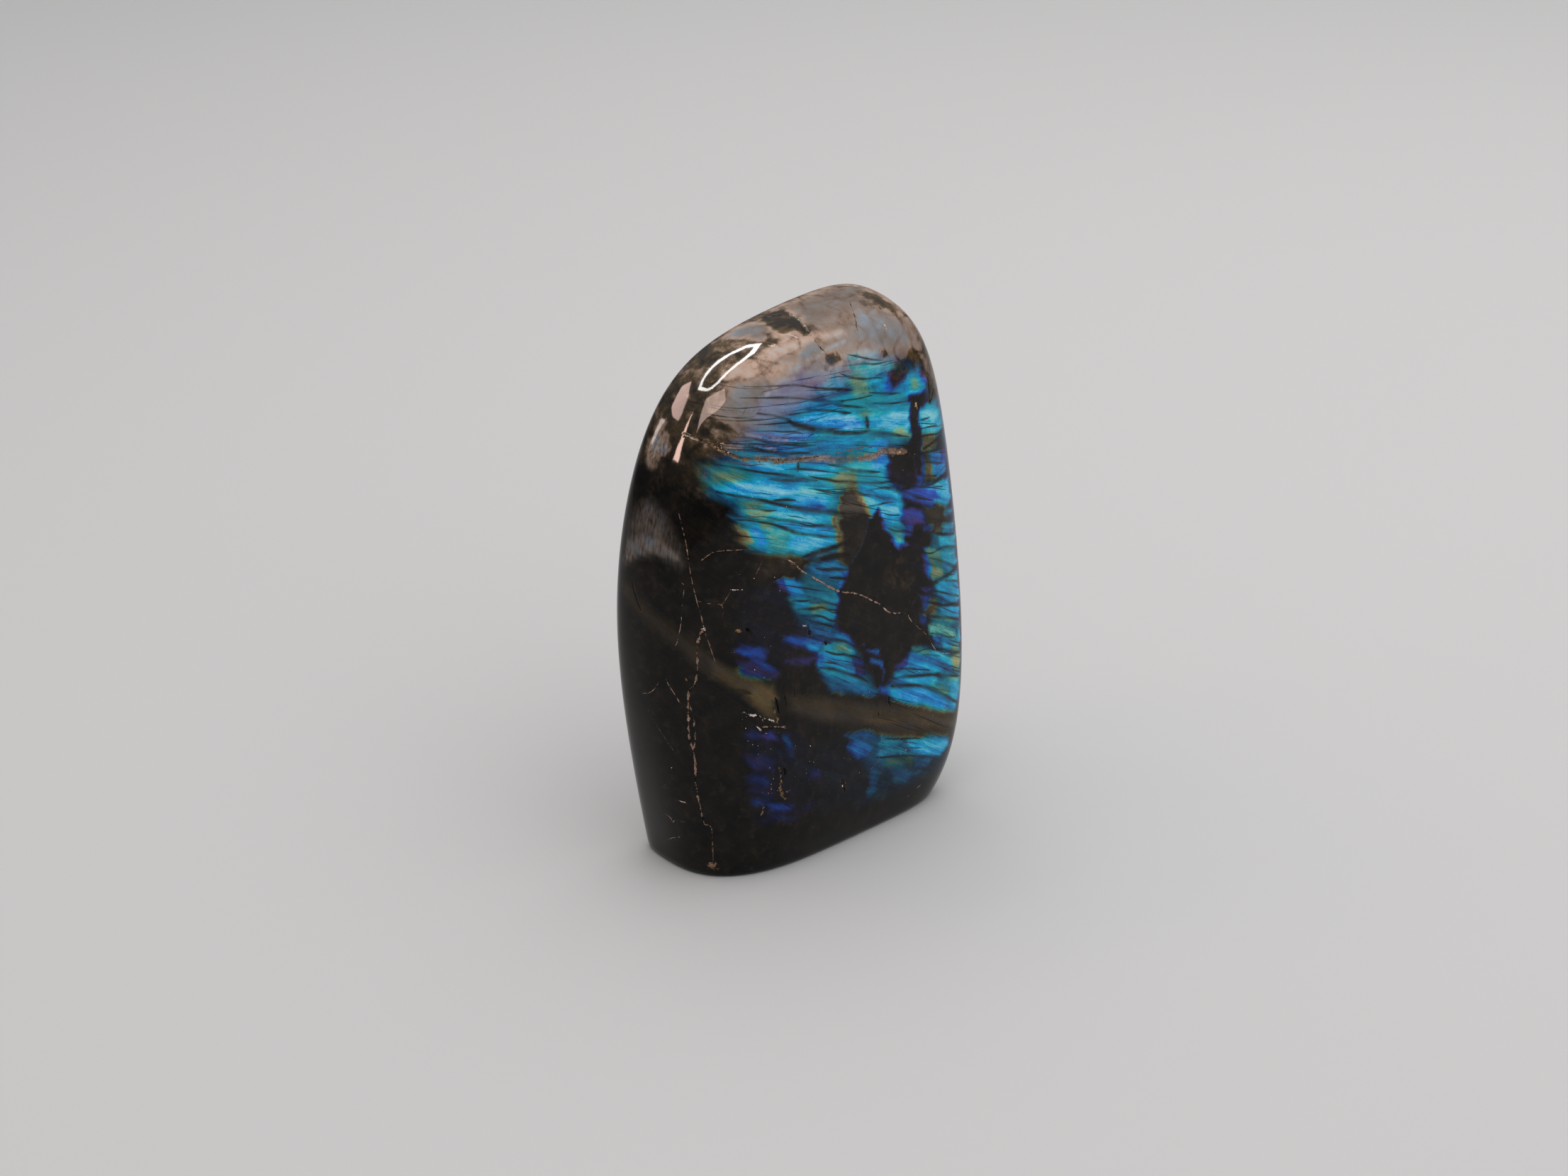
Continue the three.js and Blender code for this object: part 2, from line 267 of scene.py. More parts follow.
    ("front", .9, .23, 1.3, "-31,52 -28.6,51.8 -26,48.6 -23,47 -27,46.8 -31,48.8"),
    ("front", 1.2, .30, 1.0, "-20,49.6 -16,48.8 -12,48.6 -11,48 -14,47.4 -18,48.4"),
    ("front", 1.6, .23, 1.2, "-30,35.8 -28,35 -27,33.8 -29,33.8 -30.4,34.8"),
    ("front", 1.1, .28, .9, "-27.4,34.2 -24.6,34.6 -24.4,32.8 -26.6,32.4"),
    ("front", 2.2, .21, .7, "-22.4,33 -21,32.4 -20.8,30.6 -19.8,28.4 -20.4,28 -21.8,30.4"),
    ("front", 1.5, .21, 1.4, "-31,30 -28,28.8 -25.6,27 -26,26 -30,27"),
    ("front", 1.9, .24, 1.2, "-31,25.6 -27.6,24.6 -26.4,23 -27.4,22.4 -30.6,24.2"),
    ("front", 1.4, .14, 1.2, "-30,22.4 -26,20.4 -26,19.8 -30,21.6"),
    ("front", 1.9, .17, .9, "-30,19.6 -27,19 -27.4,18 -30,18.4"),
    ("front", 1.7, .42, .9, "-26.8,17.8 -24,16.9 -21,16 -20.8,15.2 -24,15.2 -26.6,16.6"),
    ("front", 1.4, .08, 1.4, "-28,15 -20,14 -16,15.4 -14,14 -22,12.6 -28,13.8"),
    ("front", 1.2, .14, .9, "-16,22.6 -12.6,21.6 -13.6,20.6 -16,21.4"),
    # Right of the foot
    ("front", 2.8, .05, 2.4, "0,10 14,8 30,8 32,14 20,14 6,14"),
    ("front", 2.5, .38, .9, "-4,28 -1,27.4 4,25.6 5,24.4 2,25 -2,26.6"),
    ("front", 2.1, .56, .9, "-4,25.4 -1,25.2 2,23.6 3.6,22 2.6,21 0,20.8 -2,22.6"),
    ("front", 3.0, .60, .9, "7,23 10,22.2 14,20.6 13,20 9,20.8 6.8,21.8"),
    ("front", 2.9, .52, 1.0, "6,20.6 10,20.4 15,18.8 18,18.4 17,16.6 12,17.4 6.6,18.8 5.4,19.4"),
    ("front", 2.65, 1.01, .9, "15.6,20.2 19,19 23,18 27,16.8 30.4,15.6 31,14.6 30,12.4 27.6,11.8 24,13 20,14.8 17,16"),
    ("front", 3.9, .20, 1.3, "8,18.2 13,16.4 18,15 17,14 12,15.4 8,17"),
    ("front", 2.8, .41, .9, "18,14 21,13 24,12.6 23,11.4 19,12.4"),
    ("front", 2.8, .23, .9, "12,14 15,12.8 18,10.6 21,10.4 15,10 11,12"),
    ("front", 2.7, .19, .9, "3.4,17.2 5.4,17 6,13 5,11 2,10.4 3,14"),
    ("front", 2.8, .17, .9, "9.6,14.4 13,14 14,11.6 11,11"),
    # Dull tan bands and dark places that cover flashes
    ("front", 5.3, .07, 2.2, "-26,73 -20,72.4 -15,71.6 -14,70 -20,70 -26,70.6"),
    ("front", 5.05, .22, 1.3, "-37,53 -31,49.3 -27,46.2 -24,44.6 -23.2,42.6 -24,40.6 -23.6,37 -25.2,37.6 -27,40 "
     "-31,44.6 -36.6,48.8"),
    ("front", 5.3, .15, 1.4, "-20,41 -10,38.2 0,34 8,31 20,26.6 30,22.4 34.6,19.4 33,16 27,18 18,21.2 10,24.4 5,27 "
     "-5,30.8 -12,34 -20,38"),
    ("front", 5.3, .22, 1.2, "14,27.8 24,24 31,20.6 31,18.6 22,21 14,24.8"),
    ("flank", 5.3, .10, 1.4, "12,68 7.7,65.4 1,61.8 -3.4,58.4 -8,54 -9,49 -6,51 -3.4,54.8 1,58.2 7.7,61.8 12,64"),
    ("front", 2.75, 1.05, 1.2, "5.5,82.3 8.6,82 13.9,80.1 17,79.1 18.4,77 18.5,74.5 18.6,71.6 14.5,71 12.5,71.8 "
     "11.8,75.4 "
     "9.4,75.2 7.4,78.4"),
    ("front", 1.35, .85, 1.0, "18.9,77.5 21.8,77.9 25.6,77.7 31.7,75.2 31.9,73.1 29,72.3 25.2,74.1 21.6,75.9"),
    ("front", 1.1, .50, 1.2, "19.2,73.2 22.1,73 25.3,71.5 25.4,69 22.5,68.9 19.3,70.6"),
    ("front", .4, .05, .7, "24.3,98 27.2,98 27.4,92 27,86 26.6,80 24.4,80 24.2,86 24.6,92"),
    ("front", .4, .04, 1.9, "16.4,85.4 19.4,85 22.2,83.2 23.2,80.6 22,79.4 19.4,79 16.9,80.4 15.8,82.9"),
    ("front", .4, .06, .7, "24.6,98.2 30,98.2 30.4,96.2 26,95.8 24.6,96.6"),
    ("front", 5.3, .30, .9, "21,23.2 26,21.8 30,20.6 33.4,19.2 33.2,17.8 28,19.4 24,21 21,22"),
    ("front", 5.2, .22, .8, "2,29.4 8,27.6 13,26 13,25.2 7,26.6 2,28.6"),
    ("front", 4.9, .30, .9, "-29,45.6 -26.6,45 -24.6,43.8 -23.9,42 -24.4,40 -25.6,40.2 -27.4,42 -29,44"),
    # The brownish wedge with its golden rims, and the dark spire beside it
    ("front", 5.6, .06, 1.4, "4,80.4 6.4,77.6 9.3,74.6 7.4,71.8 5.9,69.3 4.1,66.7 1.5,65.2 -1.6,68 -1.6,71.3 -1.6,74.7 "
     "-.4,77 1.5,79"),
    ("front", 5.5, .40, 1.4, "4,83.4 6.4,79.4 8,76.8 4.6,76.6 1,77.2 -1.2,78.8 .6,80.8 2.3,82"),
    ("front", 4.6, .60, .4, "2.9,83.6 5.3,80.9 6.9,78 8.6,75.9 9.7,74.5 8.9,74.4 7.2,77.1 5.6,79.7 3.9,82.4"),
    ("front", 4.8, .35, .8, "-3,78.6 -1.6,78 -1.6,74.6 -.9,71.1 -1.6,68 -2.4,71 -3.2,74.5"),
    ("front", .3, .05, 1.8, "14,65.4 17,65 20,65.2 21.5,67 23,68 24.8,67.8 24.8,63.7 24.1,61 25.2,57.8 25.6,55.3 23,54 "
     "22,51 18,50 14,56"),
    ("front", .1, .03, .9, "11.6,76 9.3,74.6 8,72.1 6.4,69.8 5.3,67.3 2.8,66 .9,64.5 -1.5,62.6 -3.3,60.1 -4.1,56.9 "
     "-4.6,54.2 .1,49.5 7.6,45.6 15.6,45 21.7,44.9 21,48.2 21,52 19,58 17.5,63 15.9,65.4 14.9,68.1 13.6,70.1 "
     "12.1,72.8"),
    # The dark rim on the right
    ("front", .2, .04, .5, "38.4,100 38.2,90 37.8,81.6 37.5,76 37.6,70.3 38.7,64 38.6,58.4 38.2,52.7 38,47 "
     "37.8,41 37.6,30 "
     "37,20 44,20 44,100"),
    # The back
    ("back", 2.7, .30, 2.6, "-26,98 -10,105 8,106 24,101 33,92 35,80 34,66 26,58 12,58 0,62 -10,70 -14,78 "
     "-24,82 -29,88"),
    ("back", 2.6, .22, 2.4, "-34,62 -22,64 -8,56 0,48 14,44 30,38 34,28 30,20 16,22 4,32 -10,38 -26,44 -34,50"),
    ("back", 2.5, .70, 2.2, "-24,98 -10,104 8,105 24,100 33,92 34,82 28,74 14,74 2,77 -8,82 -20,84 -28,88"),
    ("back", 2.8, 1.1, .9, "-20,97 -8,100 6,99 14,95 4,93 -10,94"),
    ("back", 2.2, .95, .9, "-26,90 -12,93 4,91 12,87 0,86 -16,87"),
    ("back", 3.3, .90, 1.0, "10,101 22,98 30,92 24,91 14,94"),
    ("back", 4.3, .70, 1.2, "24,90 32,87 32,80 26,82 22,86"),
    ("back", 2.7, 1.15, .9, "4,88 16,87 26,81 22,77 12,78 2,83"),
    ("back", 1.7, .80, 1.0, "-30,84 -22,84 -12,80 -20,78 -29,80"),
    ("back", 2.6, .95, .9, "-4,70 8,72 20,68 26,62 16,61 4,64"),
    ("back", 3.1, .70, 1.0, "6,63 18,61 24,56 14,56 4,60"),
    ("back", 2.2, .85, .9, "-30,56 -20,57 -10,52 -4,47 -14,47 -26,51"),
    ("back", 1.5, .60, 1.0, "-32,50 -24,49 -16,45 -24,44 -32,46"),
    ("back", 2.8, .90, .9, "14,40 24,38 32,32 30,28 20,31 12,36"),
    ("back", 4.2, .60, .9, "20,31 28,28 30,24 24,25"),
    ("back", 1.8, .50, 1.0, "-12,32 0,31 6,27 -2,25 -12,28"),
    ("back", 1.2, .40, 1.3, "-32,26 -24,27 -20,22 -28,20"),
    ("back", 5.0, .16, 1.7, "-34,66 -20,62 -8,60 -8,56 -22,58 -34,61"),
    ("back", .4, .05, 1.0, "-10,79 2,77 14,74 14,72 0,74 -12,76"),
    ("back", .3, .04, 1.6, "-2,97 2,96 3,92 2,88 4,84 0,83 -4,86 -3,92"),
    ("back", .3, .03, 1.8, "17,82 20,80 23,76 27,72 28,64 24,58 18,57 12,60 8,64 10,68 14,72 15,77"),
    ("back", 3.8, .45, 1.2, "9,78 12,77 13,72 10,70 7,73"),
    ("back", 2.3, .55, .9, "26,72 31,70 34,64 33,58 28,60 25,66"),
    ("back", 2.9, .60, .9, "-26,54 -20,56 -14,52 -8,46 -10,44 -18,48 -26,50"),
    ("back", 1.7, .45, .9, "4,46 12,44 20,41 18,38 8,40 3,43"),
    ("back", 2.7, .70, .9, "2,34 8,33 14,29 12,26 6,28 1,31"),
    ("back", 5.3, .15, 1.4, "-36,44 -24,38 -8,30 8,22 24,18 34,12 34,8 22,13 6,17 -10,24 -26,32 -36,38"),
    ("back", 2.5, .45, .9, "-14,18 -6,17 2,13 0,10 -8,12 -14,15"),
    # The narrow right side
    ("right", 2.7, .30, 2.4, "-8,94 2,93 9,86 12,74 12,58 10,44 8,30 0,22 -8,26 -10,40 -9,56 -10,72"),
    ("right", .4, .05, 2.0, "-9,80 0,79 10,68 12,64 6,62 0,66 -9,68"),
    ("right", .4, .05, 2.0, "-10,44 -2,44 5,40 12,38 11,32 4,32 -4,36 -10,38"),
    ("right", 2.7, 1.0, 1.2, "-7,94 -4,95 4,90 4,82 -5,80 -7,84"),
    ("right", 2.4, .90, 1.0, "-7,80 -6,79 2,74 0,68 -10,70 -7,74"),
    ("right", 4.2, .50, 1.2, "2,88 9,84 10,76 5,76 2,82"),
    ("right", 2.8, .95, 1.0, "-7,64 -6,62 2,57 2,50 -6,52 -7,57"),
    ("right", 2.9, .90, 1.0, "-7,52 -5,50 3,44 1,38 -8,42 -7,46"),
    ("right", 1.8, .60, 1.2, "4,60 10,56 11,48 6,48 3,54"),
    ("right", 2.5, .85, 1.0, "-11,36 -3,34 6,27 3,23 -7,28 -11,31"),
    ("right", 1.3, .50, 1.2, "4,34 9,30 9,24 5,26"),
    ("right", 2.5, .60, 1.0, "5,74 9,72 12,66 11,62 7,64 4,69"),
    ("right", 2.9, .55, 1.0, "6,44 10,41 11,36 8,36 5,40"),
    ("right", .3, .03, 1.2, "-4,78 0,74 3,66 1,60 -3,62 -5,70"),
)

# Milky films under the polish, with painted reflections of the studio light on the crown, the upper left of the wide
# face and the left flank, all painted over the flashes: side, hue, strength, how far the edge fades, and the outline.
# Hues run from 0 dark brown through .25 olive, .5 pinkish beige and .75 warm grey to 1 bluish grey.
FILMS_AND_PAINTED_REFLECTIONS = (
    # The crown as a whole, and the greyish ground of its top
    ("crown", .50, .76, 3.0, "-16,15 36,15 38,-12 -12,-12 -16,0"),
    ("crown", .66, .34, 2.5, "5.3,10.5 13.5,10.9 21.5,10.4 27.9,9.2 26,4.3 22.3,-.3 16.8,-.4 12.5,-3.5 5.7,-1.9 3,.6 "
     "5.4,6.5"),
    ("front", .62, .50, 2.5, "-14,108 -4,111 8,112.5 20,111.5 30,108 35,101 38,106 30,116 10,121 -14,116"),
    ("crown", .92, .60, 1.6, "16.4,-.2 21.4,-.1 24.7,-1.6 26.6,-3.4 28.1,-5.2 28,-6.3 23,-7.4 18.7,-6.8 14.8,-5.4 "
     "13.3,-4.3"),
    # The olive brown shoulder
    ("crown", .22, .55, 3.0, "-34,14 -15,14 -12,6 -15,-8 -34,-8"),
    ("flank", .22, .45, 2.0, "-9,102 -8,108 14,108 14,95 8,98 0,100"),
    ("crown", .28, .75, 1.2, "-15.9,11.9 -13.4,11.9 -11.2,9.5 -10,5 -7.3,2.5 -3.8,.4 .3,-.1 -3.8,-1.1 -8.1,-.3 "
     "-10.1,2.8 -12.1,5.9 -16.2,7.4 -18.1,9.1"),
    ("crown", .86, .45, 1.2, "-11.9,11.4 -8.5,11.7 -4.7,10.9 -3.4,8 -4.3,4.6 -7.6,3.8 -9.8,8.3"),
    # Haze over the upper left of the wide face and over the left of the crown, partly milky film and partly a painted
    # reflection of the studio light, and the milky streak above its edge
    ("front", .88, .50, 2.6, "-27.5,104.5 -25,107.5 -20.6,110.4 -14,111 -6,110.6 0,110.5 0,109 -5,107.4 "
     "-9,105.4 -14,103 "
     "-19,101 -24,101.5"),
    ("front", .98, .32, 2.0, "-25,101.5 -19,101 -12,99.6 -7,98.4 -9,97 -15,98 -21,98.6 -25,99.4"),
    # On the left of the crown: the same painted reflection over a milky film
    ("crown", .55, .95, 1.6, "-20.1,2.3 -16.4,1.5 -12.2,1.2 -14,-1.2 -11.6,-2.8 -8.1,-4.4 -5.3,-4.6 -9.3,-5.6 "
     "-13.6,-5.9 -15.2,-3.9 -18.4,-2.5 -20.2,.1"),
    ("crown", .62, .95, 1.0, "-12.6,1.8 -7.3,.5 -1.8,-.2 3.4,-1.1 9.8,-3 10.5,-3.9 6.1,-3.6 1.5,-3 -2.7,-3.1 -7.4,-3.2 "
     "-11.3,-2.5 -14,-1.2"),
    ("crown", 1.0, .60, .9, "-3.8,-3.1 -.5,-2.9 1.6,-3.4 1.4,-4.6 -2.6,-5 -5.2,-4.5"),
    # A thin painted highlight along the top of the wide face
    ("front", .88, .85, .22, "-16.9,107 -13.3,108.6 -8.9,110.2 -2.9,111.6 2.1,112.6 5.8,113 9.5,113.2 9.5,113.7 "
     "5.8,113.5 2.1,113.1 -2.9,112.1 -8.9,110.7 -13.3,109.2 -16.6,107.7"),
    # Dark and brown places of the crown
    ("crown", .04, .95, .8, "-1,11.3 2,11.5 4.3,9.5 4.3,5.9 3,2 2.2,-.3 -.1,-.5 .2,2.4 -3.8,1.9 -2.8,5.6 -2.7,8.3"),
    ("front", .10, .80, .6, "1.6,110.8 3.5,109.9 5.9,110.3 5.4,111.8 3.9,112.4 2.1,112"),
    ("crown", .22, .70, 1.2, "26.2,6 28.8,4.4 29.2,1 30.3,-1.5 27.6,-3 25.6,-.7 25,2.3 23.2,4.2"),
    ("front", .08, .80, .7, "19.3,104.7 22.6,106.2 25.7,106.6 27.7,108.3 30.5,106.8 30.2,104.4 26,103.5 23.2,101.6 "
     "20.1,100.8 18.7,102.2"),
    ("front", .02, .90, .6, "29.4,107.5 30.8,105.7 32.5,102.3 34,99 34.6,95.7 31.2,95.1 32.3,99.4 30.4,102.8"),
    ("front", .15, .80, .5, "17.6,109.8 19,109.7 19.2,108.5 18,108.2"),
    # Pale patches of the shoulder, and the brushed patch of the left flank above its dark dome: a painted reflection of
    # the room, streaked along fine scratches
    ("flank", .48, .50, .7, "11.6,102.3 9.7,102.2 5.1,96.6 7,95.2 8.7,92.1 10.8,92.1 12.6,96"),
    ("flank", .92, .60, .4, "9.9,95.5 11,97.5 10.9,99.3 9.6,98.8 8.6,96.4"),
    ("flank", .90, .45, .4, "7.8,95.4 8.4,97.4 7.4,97.8 6.4,96 6.8,95"),
    ("flank", .74, .19, 2.2, "12,80 11.7,75 12.4,71 7.6,74.2 3.6,75.2 .4,74.5 -1.9,73.4 .1,78.4 3.5,82.4 7.5,85 "
     "9.8,84.5"),
    ("flank", .74, .30, .3, "12.2,75 12.4,71 7.6,74.2 3.6,75.2 .4,74.5 -1.9,73.4 -1.2,75.4 3,78 8,78"),
    ("front", .34, .70, .35, "-30,99.1 -26,96.6 -22,95.6 -18,94.6 -12,93.3 -5,92 2,90.2 9,89 16,89.1 22,86.7 22,85.7 "
     "16,87.5 9,87.5 2,88.7 -5,90.7 -12,92 -18,93.1 -22,94.1 -26,95.2 -30,97.9"),
    ("back", .42, .35, 4.0, "-34,114 38,114 38,98 24,103 4,106 -16,105 -34,98"),
    ("right", .36, .45, 4.0, "-14,110 14,110 14,92 0,96 -14,96"),
    # Thin beige and golden brown layers above that seam
    ("front", .42, .55, .3, "-29,101.6 -24,100.6 -18,99 -14,97.6 -14,97.2 -18,98.4 -24,99.9 -29,100.9"),
    ("front", .34, .60, .3, "-31,100 -26,98.3 -21,97.3 -17,96.2 -17,95.7 -21,96.7 -26,97.6 -31,99.2"),
    ("front", .60, .45, .3, "-27,103.4 -21,102.2 -16,100.8 -16,100.3 -21,101.6 -27,102.8"),
    ("front", .30, .45, .3, "-33,97.4 -29,95.8 -25,94.6 -21,93.4 -21,93 -25,94 -29,95.2 -33,96.8"),
    ("front", .12, .30, 1.6, "13,64 19,62.5 20,57 16,54.5 12.5,58"),
    ("front", .14, .30, 2.0, "-24,73 -14,72 -4,70.6 -4,69 -14,69.6 -24,70.4"),
    ("front", .22, .50, .9, "-29.6,98.8 -27.6,97.8 -24.4,96.8 -21,95.6 -18.6,94.4 -22,94.9 -26,95.9 -28.8,97.4"),
)

# Dark sheets that show as thin lines across the wide face: across, up and half the thickness at each knot
SHEETS = (
    # Upper wide face, from the crown down
    "8,111,.06 10.5,110.1,.22 13,109.2,.22 16,108.2,.14 18,107.8,.06",
    "6,109,.04 9.5,108.5,.17 13,108,.22 16,107.4,.14 21,107.1,.06",
    "-20,109.3,.06 -15,108.8,.14 -9,108,.2 -4,106.5,.22 0,105.4,.28 4,104.4,.28 7,103.6,.08",
    "4.5,107.7,.06 7,106.4,.28 9.5,105.6,.22 12,105,.17 15,104.6,.14 17,104,.06",
    "-22,107.4,.06 -18,107,.11 -13,106.2,.25 -8,105,.17 -5,104,.2 -2,103.2,.34 1,102.5,.14 5,101.9,.11 9,101.4,.17 "
    "13,101.2,.06",
    "-9,103,.06 -4,101.7,.22 -1,100.9,.25 1.5,100.2,.14 3.5,99.5,.34 5.8,98.9,.08",
    ".5,102,.06 2.5,101.3,.25 5,100.6,.25 8,99.7,.2 10.5,99,.08",
    "12,102,.06 15,101.2,.2 18,100.4,.28 20.5,99.9,.17 22,99.6,.06",
    "12,99.7,.06 15,98.9,.17 18,98.2,.2 22,97.6,.2 25,97.3,.11",
    "-20,104.2,.17 -17,103.3,.22 -15,102.6,.28 -13,101.6,.28 -11.8,100.6,.45 -10,99.7,.62 -7,98.4,.62 -4,97.4,.56 "
    "0,96.1,.56 3,95.2,.5 7,94.2,.39 10,93.8,.34 14,92.6,.5 18,91.2,.39 21,90.2,.17 23,89.6,.11",
    "-23,101,.06 -18,100.2,.11 -15,99.4,.14 -12,98.8,.17 -9.5,98.1,.06",
    "-26,100.2,.06 -24,99.8,.17 -21.5,99.1,.31 -19,98,.31 -16,97.2,.28 -13,96.2,.28 -10,95.3,.25 -6,94.5,.08",
    "-26,99,.06 -23,97.8,.28 -20.5,96.5,.31 -17,95.5,.31 -14.5,94.7,.31 -11.5,94.1,.22 -8,93.3,.11",
    "-31,95,.08 -27,93.8,.22 -24,92.8,.25 -21,91.8,.22 -18,90.9,.25 -15,89.8,.28 -12,88.6,.31 -9,87.5,.28 "
     "-6.5,86.8,.11",
    "-20,90.2,.06 -17,89.2,.22 -14.5,88.8,.45 -13,88.5,.22 -10,88.3,.06",
    "-3,89.5,.08 0,88.4,.2 2,87.6,.25 5,86.2,.34 8,85.3,.28 10,84.7,.25 13,84,.11",
    "-10,90,.06 -6,88.9,.17 -3,87.9,.14 0,86.9,.11",
    "-9,88.5,.06 -6,87.2,.22 -3,86.1,.28 -1,85.3,.25 2,84.5,.28 5,83.6,.31 8,82.7,.31 12,81.7,.31 15,81.2,.22 "
    "18,80.6,.11",
    "-31.5,89.2,.11 -28,88,.25 -25,87,.28 -22.5,86.2,.28 -20.5,85.3,.34 -18,84.2,.28 -15,83,.39 -12,81.9,.36 "
    "-8,80.4,.34 -4.5,79.3,.34 -2.8,78.8,.56 0,77.8,.22 4,76.8,.06",
    "-19.5,85.4,.11 -17.5,85.1,.34 -15.5,84.7,.28 -13.5,84.1,.11",
    "-8,85.3,.04 -5,84,.17 -2,82.8,.11 1,82,.08 4,81.1,.04",
    "-27,85.2,.04 -24,84.5,.17 -21.5,83.6,.2 -19,83.1,.08",
    "-24,83,.04 -21,82,.14 -18.5,80.9,.28 -16,80.2,.31 -13,79,.22 -11,77.9,.17 -9,77.3,.22 -7,76.9,.28 -5,76.4,.34 "
    "-3.2,75.7,.34 -2,75.2,.08",
    "-29,83,.06 -26,82.4,.17 -23,81.4,.17 -20.5,80.5,.17 -18,79.2,.34 -16,78.1,.39 -14,77,.36 -11,75.8,.31 "
    "-8,74.8,.34 -6,74.1,.28 -3,73.2,.17 -1,72.8,.06",
    "8,80.9,.04 11,80.6,.14 14,80.1,.28 17,79.2,.39 19.5,77.9,.39 22,76.5,.34 24.5,75.1,.34 27,74.2,.22 30,73,.08",
    "19,78.4,.11 23,78,.34 26,77.4,.34 29,76.9,.34 32,77.1,.39 35,77.5,.34 38,77.4,.11",
    "25,77.6,.06 28,76.6,.14 31,75.9,.14 34,75.1,.14",
    "8,77.4,.04 11,76.9,.17 14,76.7,.17 17,76.1,.06",
    "12,75,.04 15,73.6,.14 18,72.8,.11",
    "13.6,71,.04 16,69.6,.17 19,68.8,.28 22,67.6,.22 25,66.6,.11",
    "10.3,94.7,.56 10.4,96,.5 10.2,97.2,.22",
    "-11.9,90.2,.28 -11.7,91.2,.34 -11.6,92,.11",
    # Right strip, from the top down
    "27.5,92.3,.06 29,92,.2 31.5,91.8,.06",
    "27,90.3,.06 31,89.8,.17 34,89.4,.11",
    "27,88.6,.11 31,88,.2 34,87.4,.22 37,87.6,.11",
    "27,84.8,.11 30,84.3,.22 34,83.8,.17 37,83.3,.06",
    "24,83.2,.11 27,82.4,.28 30,81.9,.22 33,80.8,.22 35,80.4,.06",
    "26,79.8,.11 29,79,.22 32,78.2,.17",
    "30,68,.08 34,67,.28 38,65.6,.17",
    "28,66,.08 32,64.6,.34 35,63.6,.28 38,62.6,.17",
    "25,62.2,.08 28,61.2,.17 31,61.4,.22 34,60.9,.34 38,59.6,.22",
    "27,60.4,.08 30,59,.22 33,57.4,.34 36,55.6,.34 38.5,54.2,.28",
    "25,53.8,.08 28,54.3,.28 32,54.4,.34 35,54.7,.22 37,54.4,.08",
    "31,53.9,.06 34,52.8,.28 38,51.4,.22",
    "27,52.6,.11 30,51.4,.22 33,50,.2 36,48.6,.22 38,47.6,.11",
    "25,50.6,.11 28,49.2,.28 31,47.9,.34 34,47.2,.34 38,45.6,.28",
    "24.5,47.4,.17 27,46.4,.34 30,45.3,.28 33,44.2,.28 37,42.5,.22",
    "25.4,43,.06 28,41.9,.22 31,40.4,.22 34,39.2,.14",
    "20,40,.11 24,39.6,.22 27,38.6,.34 30,37.4,.39 32.3,36,.78 35,35.2,.34 37,34.4,.22",
    "22,38.8,.08 25,37.8,.17 28,36.6,.14",
    "14,37.8,.11 17,37,.22 20,35.9,.14 24,34.5,.11",
    "12,36,.11 15,35.6,.34 19,34.6,.34 23,33.6,.34 26,32.7,.34 28.6,31.7,.9 30.5,31,.34 35,29.4,.22",
    "11,34.6,.39 14,33.8,.39 17,33,.34 20,32,.34 23,30.6,.34 26,28.8,.34 29,26.8,.28 32,24.6,.34 35,22.6,.17",
    "-32,45.6,.11 -30.5,44.8,.39 -29.3,44.2,.17",
    "8,22.9,.11 12,21.4,.22 16,20.3,.17 20,19,.11",
    "5,19.2,.11 8,18.3,.22 12,17.2,.22 16,16,.17 20,14.4,.28 24,12.9,.34 27,11.9,.11",
    "14,18.6,.06 17,17.6,.17 20,16.6,.08",
    # Middle of the wide face
    "-10.5,45.4,.17 -8,44.4,.31 -5,43,.34 -2,41.4,.34 1,39.8,.28 3.5,38,.11",
    "-10,46.7,.06 -8,45.8,.17 -5,44.6,.08",
    "-8.6,48.6,.11 -6,47.2,.22 -3,46.2,.22 0,44.9,.22 2,44,.06",
    "-12,53.4,.11 -9.5,52.2,.28 -7,51,.28 -4,49.8,.28 -1.6,48.6,.22 .4,47,.11",
    "-14,57.6,.11 -11,56,.28 -8,54.6,.22 -5.5,53.4,.11",
    "-15,58.6,.11 -12,57.6,.28 -9,56.8,.22 -6.5,55.2,.17 -4,54,.11",
    "-15.6,60.2,.11 -12,59.2,.28 -9,58.8,.22 -6.5,57.6,.22 -4,56.8,.11",
    "-12,60.8,.11 -9,60,.25 -6,58.8,.22 -4,58,.11",
    "-17,62.4,.11 -14,61.6,.22 -10,60.8,.11",
    "-9.4,67.8,.11 -7,66.9,.28 -4,66.2,.34 -1.5,65.4,.28 0,64.9,.11",
    "-5.5,64.7,.11 -3,63.9,.34 -1,63.2,.28 .4,62.6,.11",
    "-13,71.2,.22 -8,71.3,.5 -3,71.1,.5 2,70.9,.45",
    "-13,70.1,.11 -8,69.4,.45 -4,69.1,.56 -1,68.6,.45 1,68.2,.22",
)
# More sheets at random places, between those on the wide face and all over the sides that the photograph doesn't show:
# side, how far across and up their middles lie, how many, half the thickness of the thickest, and the seed
GROWN_SHEETS = (
    ("front", (-29, 2), (94, 110), 26, 0.14, 25),
    ("front", (-28, 22), (72, 109), 60, 0.14, 21),
    ("front", (28, 38), (28, 92), 26, 0.14, 22),
    ("front", (-14, 4), (38, 66), 14, 0.14, 23),
    ("front", (8, 30), (13, 38), 14, 0.14, 24),
    ("back", (-32, 34), (18, 106), 90, 0.32, 5),
    ("right", (-11, 10), (22, 96), 40, 0.28, 8),
)

